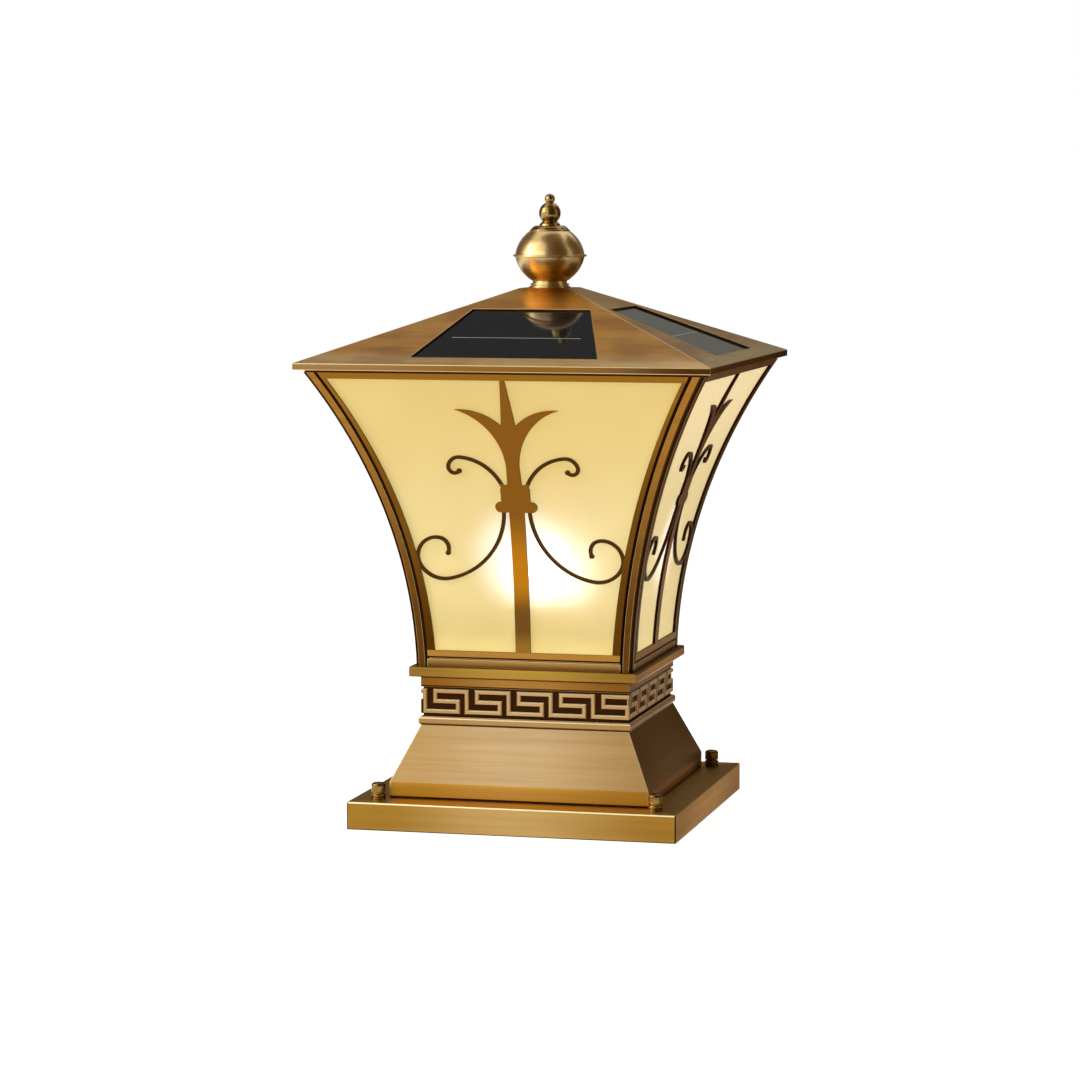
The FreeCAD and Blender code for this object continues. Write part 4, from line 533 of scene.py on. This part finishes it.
spun_aluminium = plain("spun_aluminium", (0.70, 0.70, 0.69), 0.3, 1.0)
contact_brass = plain("contact_brass", (0.72, 0.52, 0.24), 0.3, 1.0)
cell_wrap = plain("cell_wrap", (0.06, 0.16, 0.36), 0.35)
lead_rubber = plain("lead_cover", (0.03, 0.03, 0.03), 0.55)
bulb_opal = lit("bulb_opal", (0.54, 0.68, 1.12), 64)
light_disc = lit("light_disc", (1.0, 0.86, 0.58), 5)

# Pieces that keep their CAD shape
node_finishes = {
    "anchor_studs": zinc, "tie_rods": zinc, "tie_nuts": zinc, "centre_rod": zinc, "rod_nuts": zinc,
    "countersunk_screws": zinc, "crossbar": zinc, "finial_bush": zinc, "top_ring": hollow_metal,
    "soffit": sill_metal, "cell_busbars": busbar, "led_housing": spun_aluminium,
    "led_diffuser": light_disc, "led_board": board_mask, "controller_board": board_mask,
    "battery_case": black_plastic, "controller_case": black_plastic, "switch_body": black_plastic,
    "junction_box": black_plastic, "junction_lid": black_plastic, "cable_gland": black_plastic,
    "mode_button": black_plastic, "battery_cells": cell_wrap, "terminal_block": white_plastic,
    "internal_lead": lead_rubber, "roof_leads": lead_rubber, "lamp_holder": white_plastic,
    "holder_contacts": contact_brass, "bulb_envelope": bulb_opal, "bulb_housing": white_plastic,
    "bulb_cap": spun_aluminium,
}
node_finishes.update({f"pane_{side}": pane_glass for side in SIDES})
node_finishes.update({f"solar_panel_{side}": panel_gloss for side in SIDES})
for node, finish in node_finishes.items():
    mesh = nodes[node].data
    mesh.materials.clear()
    mesh.materials.append(finish)


# Mesh helpers

SMOOTH_ANGLE = math.radians(40)
SHARP_ANGLE = math.radians(28)
FLAT_ANGLE = math.radians(0.25)


def finished(shape, name, body, finishes, node, pick=None):
    """Turns a bmesh into the piece that stands for a node and rides on a body."""
    mesh = bpy.data.meshes.new(name)
    if pick:
        for face in shape.faces:
            face.material_index = pick(face)
    for face in shape.faces:
        face.smooth = True
    for edge in shape.edges:
        edge.smooth = len(edge.link_faces) == 2 and edge.calc_face_angle() < SMOOTH_ANGLE
    shape.to_mesh(mesh)
    shape.free()
    for finish in finishes:
        mesh.materials.append(finish)
    piece = bpy.data.objects.new(name, mesh)
    bpy.context.scene.collection.objects.link(piece)
    weights = piece.modifiers.new("weights", "WEIGHTED_NORMAL")
    weights.keep_sharp = True
    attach(piece, body)
    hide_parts(node)


def softened(node, name, finishes, width, body="lantern", segments=2, pick=None, mould=None,
             choose=None):
    """A copy of a node, moulded if need be, with its sharp edges rounded and marked for scuffs and
    painted highlights.

    Pick gives a face its finish, and choose says which of the sharp edges are rounded.
    """
    shape = bmesh.new()
    shape.from_mesh(nodes[node].data)
    shape.faces.layers.float.new("scuffs_and_glints")
    bmesh.ops.remove_doubles(shape, verts=shape.verts, dist=0.01 * MM)
    bmesh.ops.dissolve_limit(shape, angle_limit=FLAT_ANGLE, verts=shape.verts, edges=shape.edges)
    if mould:
        mould(shape)
    sharp = [edge for edge in shape.edges
             if len(edge.link_faces) == 2 and edge.calc_face_angle() > SHARP_ANGLE]
    if choose:
        sharp = [edge for edge in sharp if choose(edge)]
    scuffs_and_glints = shape.faces.layers.float["scuffs_and_glints"]
    made = bmesh.ops.bevel(shape, geom=sharp, offset=width, offset_type="OFFSET", affect="EDGES",
                           segments=segments, profile=0.5, material=-1, clamp_overlap=True)
    for face in made["faces"]:
        face[scuffs_and_glints] = 1.0
    finished(shape, name, body, finishes, node, pick)


def lathe(shape, profile, centre):
    """Turns a profile of (radius, level) points about an upright axis; ends at radius 0 are closed."""
    spots = [shape.verts.new((centre[0] + radius, centre[1], level)) for radius, level in profile]
    edges = [shape.edges.new(pair) for pair in zip(spots, spots[1:])]
    bmesh.ops.spin(shape, geom=spots + edges, cent=(*centre, 0), axis=(0, 0, 1), angle=2 * math.pi,
                   steps=48, use_merge=True, use_normal_flip=False, use_duplicate=False)


def tidy(shape):
    """Merges doubled points and turns all faces outwards."""
    bmesh.ops.remove_doubles(shape, verts=shape.verts, dist=0.005 * MM)
    bmesh.ops.recalc_face_normals(shape, faces=shape.faces)


# Sheet metal of the pedestal

def box_edge(edge):
    """The base box's long edges, apart from those it stands on; its stud holes stay sharp."""
    return edge.calc_length() > 15 * MM and max(end.co.z for end in edge.verts) > 5 * MM


def skirt_side(face):
    """The skirt's upright lip takes its own finish, deeper in colour as a painted reflection."""
    return 1 if abs(face.normal.z) < 0.1 else 0


def frieze_side(face):
    """The floor of the frieze and its walls are dark with patina and painted shade, and the bead at the
    foot has its own finish.
    """
    middle = face.calc_center_median()
    low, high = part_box("neck_band")
    level = middle.z - low.z
    inside = max(abs(middle.x), abs(middle.y)) < high.x - FRIEZE_INSET
    if inside and FRIEZE_FOOT < level < FRIEZE_HEAD:
        return 1
    return 2 if level < BEAD_HEAD else 0


def swollen(shape):
    """Widens the key's bars by pushing their walls outwards, and lifts the key off the bead."""
    shape.normal_update()
    moves = []
    for point in shape.verts:
        along_x = abs(point.co.y) > abs(point.co.x)
        flats, rises = set(), set()
        for face in point.link_faces:
            turn = face.normal
            on_mitre = min(abs(turn.x), abs(turn.y)) > 0.5
            if on_mitre:
                continue
            flat = turn.x if along_x else turn.y
            if abs(flat) > 0.3:
                flats.add(math.copysign(1, flat))
            if abs(turn.z) > 0.3:
                rises.add(math.copysign(1, turn.z))
        step = sum(flats)
        moves.append((point, Vector((step * along_x, step * (not along_x), sum(rises))) * KEY_SWELL))
    for point, move in moves:
        drop = (key_head - point.co.z) / (key_head - key_foot)
        point.co += move + Vector((0, 0, KEY_LIFT + KEY_SHRINK * drop))


softened("base_box", "base_shell", [base_metal], 0.9 * MM, segments=3, choose=box_edge)
softened("pedestal_skirt", "skirt_shell", [skirt_metal, lip_metal], 0.55 * MM,
         pick=skirt_side)
softened("neck_band", "neck_shell", [neck_metal, frieze_metal, bead_metal], 0.35 * MM,
         pick=frieze_side)
softened("key_strips", "key_relief", [key_metal], 0.6 * MM, segments=3, mould=swollen)
softened("tray", "tray_shell", [tray_metal], 0.4 * MM)

# Each stud carries two thin rings and a domed barrel nut: radii and levels over the plate in millimetres
STUD_HALF = 102 * MM
STUD_PLACES = [(x * STUD_HALF, y * STUD_HALF) for x in (-1, 1) for y in (-1, 1)]
RINGS = [(3.3, 0), (5.0, 0), (5.3, 0.3), (5.3, 1.2), (5.0, 1.5), (4.4, 1.6), (4.4, 1.9), (3.3, 1.9),
         (3.3, 0)]
BARREL = [(0, 1.9), (4.4, 1.9), (5.0, 2.0), (5.3, 2.4), (5.3, 3.3), (5.0, 3.8), (4.2, 4.1), (4.2, 4.7),
          (4.9, 5.0), (5.15, 5.5), (5.15, 9.6), (5.0, 10.6), (4.5, 11.3), (3.5, 11.8), (2.0, 12.1),
          (0, 12.2)]
for name, node, profile in (("stud_rings", "flat_washers", RINGS), ("barrel_nuts", "cap_nuts", BARREL)):
    turned = bmesh.new()
    for place in STUD_PLACES:
        lathe(turned, [(radius * MM, plate_level + level * MM) for radius, level in profile], place)
    tidy(turned)
    finished(turned, name, "lantern", [nut_metal], node)


# Lantern body

# How near a point must be to the opening's edge to count as on it
EDGE_REACH = 0.2 * MM


def outward_of(turn):
    """The way a side faces, counted in quarter turns from the front."""
    return Vector((math.sin(math.pi / 2 * turn), -math.cos(math.pi / 2 * turn), 0))


def face_inset(point, outward):
    """How far a point lies inside a flared face."""
    across = FLARE_AXIS_OUT - point.dot(outward)
    rise = point.z - FLARE_AXIS_LEVEL
    return math.sqrt(across * across + rise * rise) - FLARE_RADIUS


def flare_out(level, depth):
    """How far out a flared face stands at a level, at a depth below its surface."""
    rise = level - FLARE_AXIS_LEVEL
    return FLARE_AXIS_OUT - math.sqrt((FLARE_RADIUS + depth) ** 2 - rise * rise)


def steepness(level):
    """The share of a step across a flared face that counts square to it."""
    return math.sqrt(1 - ((level - FLARE_AXIS_LEVEL) / (FLARE_RADIUS + OPENING_INSET)) ** 2)


def groove_side(face):
    """The floors of the grooves and of the corner notch stay dark with patina and painted shade."""
    middle = face.calc_center_median()
    for turn in range(4):
        outward = outward_of(turn)
        inset = face_inset(middle, outward)
        if face.normal.dot(outward) > 0.5 and inset > GROOVE_DEPTH - 0.3 * MM:
            return 1
    return 0


softened("sill_bars", "sill_ledges", [sill_metal], 0.3 * MM)
for corner in CORNERS:
    softened(f"corner_post_{corner}", f"post_{corner}", [post_metal, groove_metal],
             0.4 * MM, pick=groove_side)

for turn, side in enumerate(SIDES):
    outward = outward_of(turn)

    def cut_side(face, outward=outward):
        """The sheet's cut edges stay dark with patina and painted shade."""
        return 0 if abs(face.normal.dot(outward)) > 0.6 else 1

    def refined(shape, outward=outward, beside=outward_of(turn + 1)):
        """Leans the opening's edges outwards towards the roof and lets the lower scrolls hang lower."""
        for point in shape.verts:
            share = (point.co.z - OPENING_FOOT) / (OPENING_HEAD - OPENING_FOOT)
            across = point.co.dot(beside)
            way = beside * math.copysign(1, across)
            from_rail = face_inset(point.co, way) - OPENING_INSET
            if 0 < share < 1.01 and abs(from_rail) < EDGE_REACH:
                point.co += way * (OPENING_SPREAD * share / steepness(point.co.z))
            drop = SCROLL_DROP * (abs(across) - SCROLL_START)
            if drop > 0 and from_rail > -EDGE_REACH and 0.05 < share and point.co.z < COLLAR_FOOT:
                depth = face_inset(point.co, outward)
                reach = flare_out(point.co.z - drop, depth) - flare_out(point.co.z, depth)
                point.co += outward * reach - Vector((0, 0, drop))
                if from_rail < EDGE_REACH:
                    inset = OPENING_INSET + from_rail
                    point.co += way * (flare_out(point.co.z, inset) - flare_out(point.co.z + drop, inset))

    softened(f"window_frame_{side}", f"window_{side}", [iron_metal, groove_metal],
             0.25 * MM, pick=cut_side, mould=refined)


# Roof and finial

def roof_side(face):
    """The eaves are coloured apart from the slopes; the walls of the panels' recesses and the inside stay
    dark with patina and painted shade.
    """
    middle = face.calc_center_median()
    inside = max(abs(middle.x), abs(middle.y)) < RECESS_REACH
    if inside and abs(face.normal.z) < 0.6:
        return 2
    return 1 if not inside and abs(face.normal.z) < 0.3 else 0


softened("roof_shell", "roof_skin", [roof_metal, eave_metal, hollow_metal], 0.5 * MM,
         body="roof", pick=roof_side)
for node in ("finial_collar", "finial_lower_bowl", "finial_upper_bowl", "finial_top"):
    turned_brass = finial_dark if node == "finial_top" else finial_metal
    softened(node, node + "_turned", [turned_brass], 0.25 * MM, body="finial")


# Floor and surroundings

def direct_view(tree):
    """1 for the camera, for reflections and for views through glass, and 0 for light that falls."""
    rays = tree.nodes.new("ShaderNodeLightPath")
    seen = rays.outputs["Is Camera Ray"]
    for kind in ("Is Glossy Ray", "Is Transmission Ray"):
        most = tree.nodes.new("ShaderNodeMath")
        most.operation = "MAXIMUM"
        tree.links.new(seen, most.inputs[0])
        tree.links.new(rays.outputs[kind], most.inputs[1])
        seen = most.outputs[0]
    return seen


def floor_finish():
    """Pale floor that shows white to the camera and keeps a faint shadow."""
    material = bpy.data.materials.new("studio_floor")
    material.use_nodes = True
    tree = material.node_tree
    tree.nodes.clear()
    out = tree.nodes.new("ShaderNodeOutputMaterial")
    cloth = tree.nodes.new("ShaderNodeBsdfDiffuse")
    cloth.inputs["Color"].default_value = (0.35, 0.35, 0.35, 1)
    white = tree.nodes.new("ShaderNodeEmission")
    both = tree.nodes.new("ShaderNodeAddShader")
    share = tree.nodes.new("ShaderNodeMath")
    share.operation = "MULTIPLY"
    share.inputs[1].default_value = 0.86
    tree.links.new(direct_view(tree), share.inputs[0])
    tree.links.new(share.outputs[0], white.inputs["Strength"])
    tree.links.new(cloth.outputs[0], both.inputs[0])
    tree.links.new(white.outputs[0], both.inputs[1])
    tree.links.new(both.outputs[0], out.inputs["Surface"])
    return material


bpy.ops.mesh.primitive_plane_add(size=30, location=(0, 0, 0))
floor = bpy.context.object
floor.name = "floor"
floor.data.materials.append(floor_finish())

# White to the camera, dimmer as a light
world = bpy.data.worlds.new("studio")
bpy.context.scene.world = world
world.use_nodes = True
sky = world.node_tree
background = sky.nodes["Background"]
background.inputs["Color"].default_value = (1, 1, 1, 1)
strength = sky.nodes.new("ShaderNodeMapRange")
strength.inputs["To Min"].default_value = 0.45
strength.inputs["To Max"].default_value = 1.0
sky.links.new(direct_view(sky), strength.inputs["Value"])
sky.links.new(strength.outputs[0], background.inputs["Strength"])


# Lights and cards

MIDDLE = (0, 0, 0.2)
CARD_HALF = 0.5


def softbox(name, spot, size, watts):
    """A rectangular light, turned to the lantern's middle."""
    light = bpy.data.lights.new(name, "AREA")
    light.shape = "RECTANGLE"
    light.size, light.size_y = size
    light.energy = watts
    lamp = bpy.data.objects.new(name, light)
    bpy.context.scene.collection.objects.link(lamp)
    lamp.location = spot
    lamp.rotation_euler = (Vector(MIDDLE) - Vector(spot)).to_track_quat("-Z", "Y").to_euler()
    return lamp


def card(name, spot, aim, size, colour):
    """A card of one colour that only reflections see."""
    shape = bmesh.new()
    bmesh.ops.create_grid(shape, x_segments=1, y_segments=1, size=CARD_HALF)
    mesh = bpy.data.meshes.new(name)
    shape.to_mesh(mesh)
    shape.free()
    board = bpy.data.objects.new(name, mesh)
    bpy.context.scene.collection.objects.link(board)
    board.scale = (*size, 1)
    board.location = spot
    board.rotation_euler = (Vector(aim) - Vector(spot)).to_track_quat("Z", "Y").to_euler()
    paint = bpy.data.materials.new(name)
    paint.use_nodes = True
    tree = paint.node_tree
    tree.nodes.clear()
    shine = tree.nodes.new("ShaderNodeEmission")
    shine.inputs["Color"].default_value = (*colour, 1)
    out = tree.nodes.new("ShaderNodeOutputMaterial")
    tree.links.new(shine.outputs[0], out.inputs["Surface"])
    mesh.materials.append(paint)
    board.visible_camera = False
    board.visible_diffuse = False
    board.visible_shadow = False
    board.visible_transmission = False


softbox("key_light", (-2.1, -1.3, 1.5), (1.3, 1.6), 40)
softbox("fill_light", (1.8, -2.2, 0.8), (1.0, 1.4), 10).visible_glossy = False
softbox("top_light", (-0.2, 0.1, 2.2), (1.4, 1.4), 20).visible_glossy = False
card("low_back_card", (0.45, 1.15, 0.20), (0.45, 0.0, 0.20), (2.4, 0.46), (0.085, 0.040, 0.013))
card("high_back_card", (0.45, 1.15, 0.75), (0.45, 0.0, 0.75), (2.4, 0.64), (0.195, 0.195, 0.165))
card("floor_card", (0.72, 0.50, 0.0005), (0.72, 0.50, 1.0), (1.2, 1.3), (0.46, 0.34, 0.21))
card("panel_card", (-0.38, 0.97, 1.50), (0.0, -0.08, 0.36), (0.55, 0.55), (0.10, 0.10, 0.09))
card("left_back_card", (-1.10, 0.60, 0.80), (0, 0, 0.4), (1.2, 1.8), (0.12, 0.08, 0.045))
card("right_back_card", (1.10, 0.60, 0.80), (0, 0, 0.4), (1.2, 1.8), (0.12, 0.08, 0.045))
card("brow_card", (-0.52, -1.44, 0.95), MIDDLE, (1.5, 0.40), (2.0, 1.9, 1.7))
card("left_card", (-0.95, -0.92, 1.15), (0, 0, 0.42), (0.40, 1.30), (2.2, 2.1, 1.9))
card("dark_card", (0.64, -0.77, 1.55), (0, 0, 1.55), (1.8, 3.0), (0.10, 0.058, 0.022))
card("dark_hood", (0.50, -0.60, 1.90), (0, 0, 0.45), (1.8, 2.4), (0.14, 0.095, 0.050))


# Camera

# The photograph's view: 13.9 degrees to the right of the front and 5.6 degrees above the level
CAMERA_TURN = math.radians(13.93)
CAMERA_RISE = math.radians(5.59)
CAMERA_REACH = 2.639
CAMERA_SHIFT = -7.2 * MM
# In millimetres, as on a real camera
SENSOR_WIDTH = 36
FOCAL_LENGTH = 119.4

back = Vector((math.sin(CAMERA_TURN) * math.cos(CAMERA_RISE),
               -math.cos(CAMERA_TURN) * math.cos(CAMERA_RISE), math.sin(CAMERA_RISE)))
across = Vector((math.cos(CAMERA_TURN), math.sin(CAMERA_TURN), 0))
lens = bpy.data.cameras.new("camera")
lens.sensor_width = SENSOR_WIDTH
lens.lens = FOCAL_LENGTH
camera = bpy.data.objects.new("camera", lens)
bpy.context.scene.collection.objects.link(camera)
camera.location = across * CAMERA_SHIFT + Vector(MIDDLE) + back * CAMERA_REACH
camera.rotation_euler = (-back).to_track_quat("-Z", "Y").to_euler()
bpy.context.scene.camera = camera
bpy.context.scene.view_settings.view_transform = "Standard"
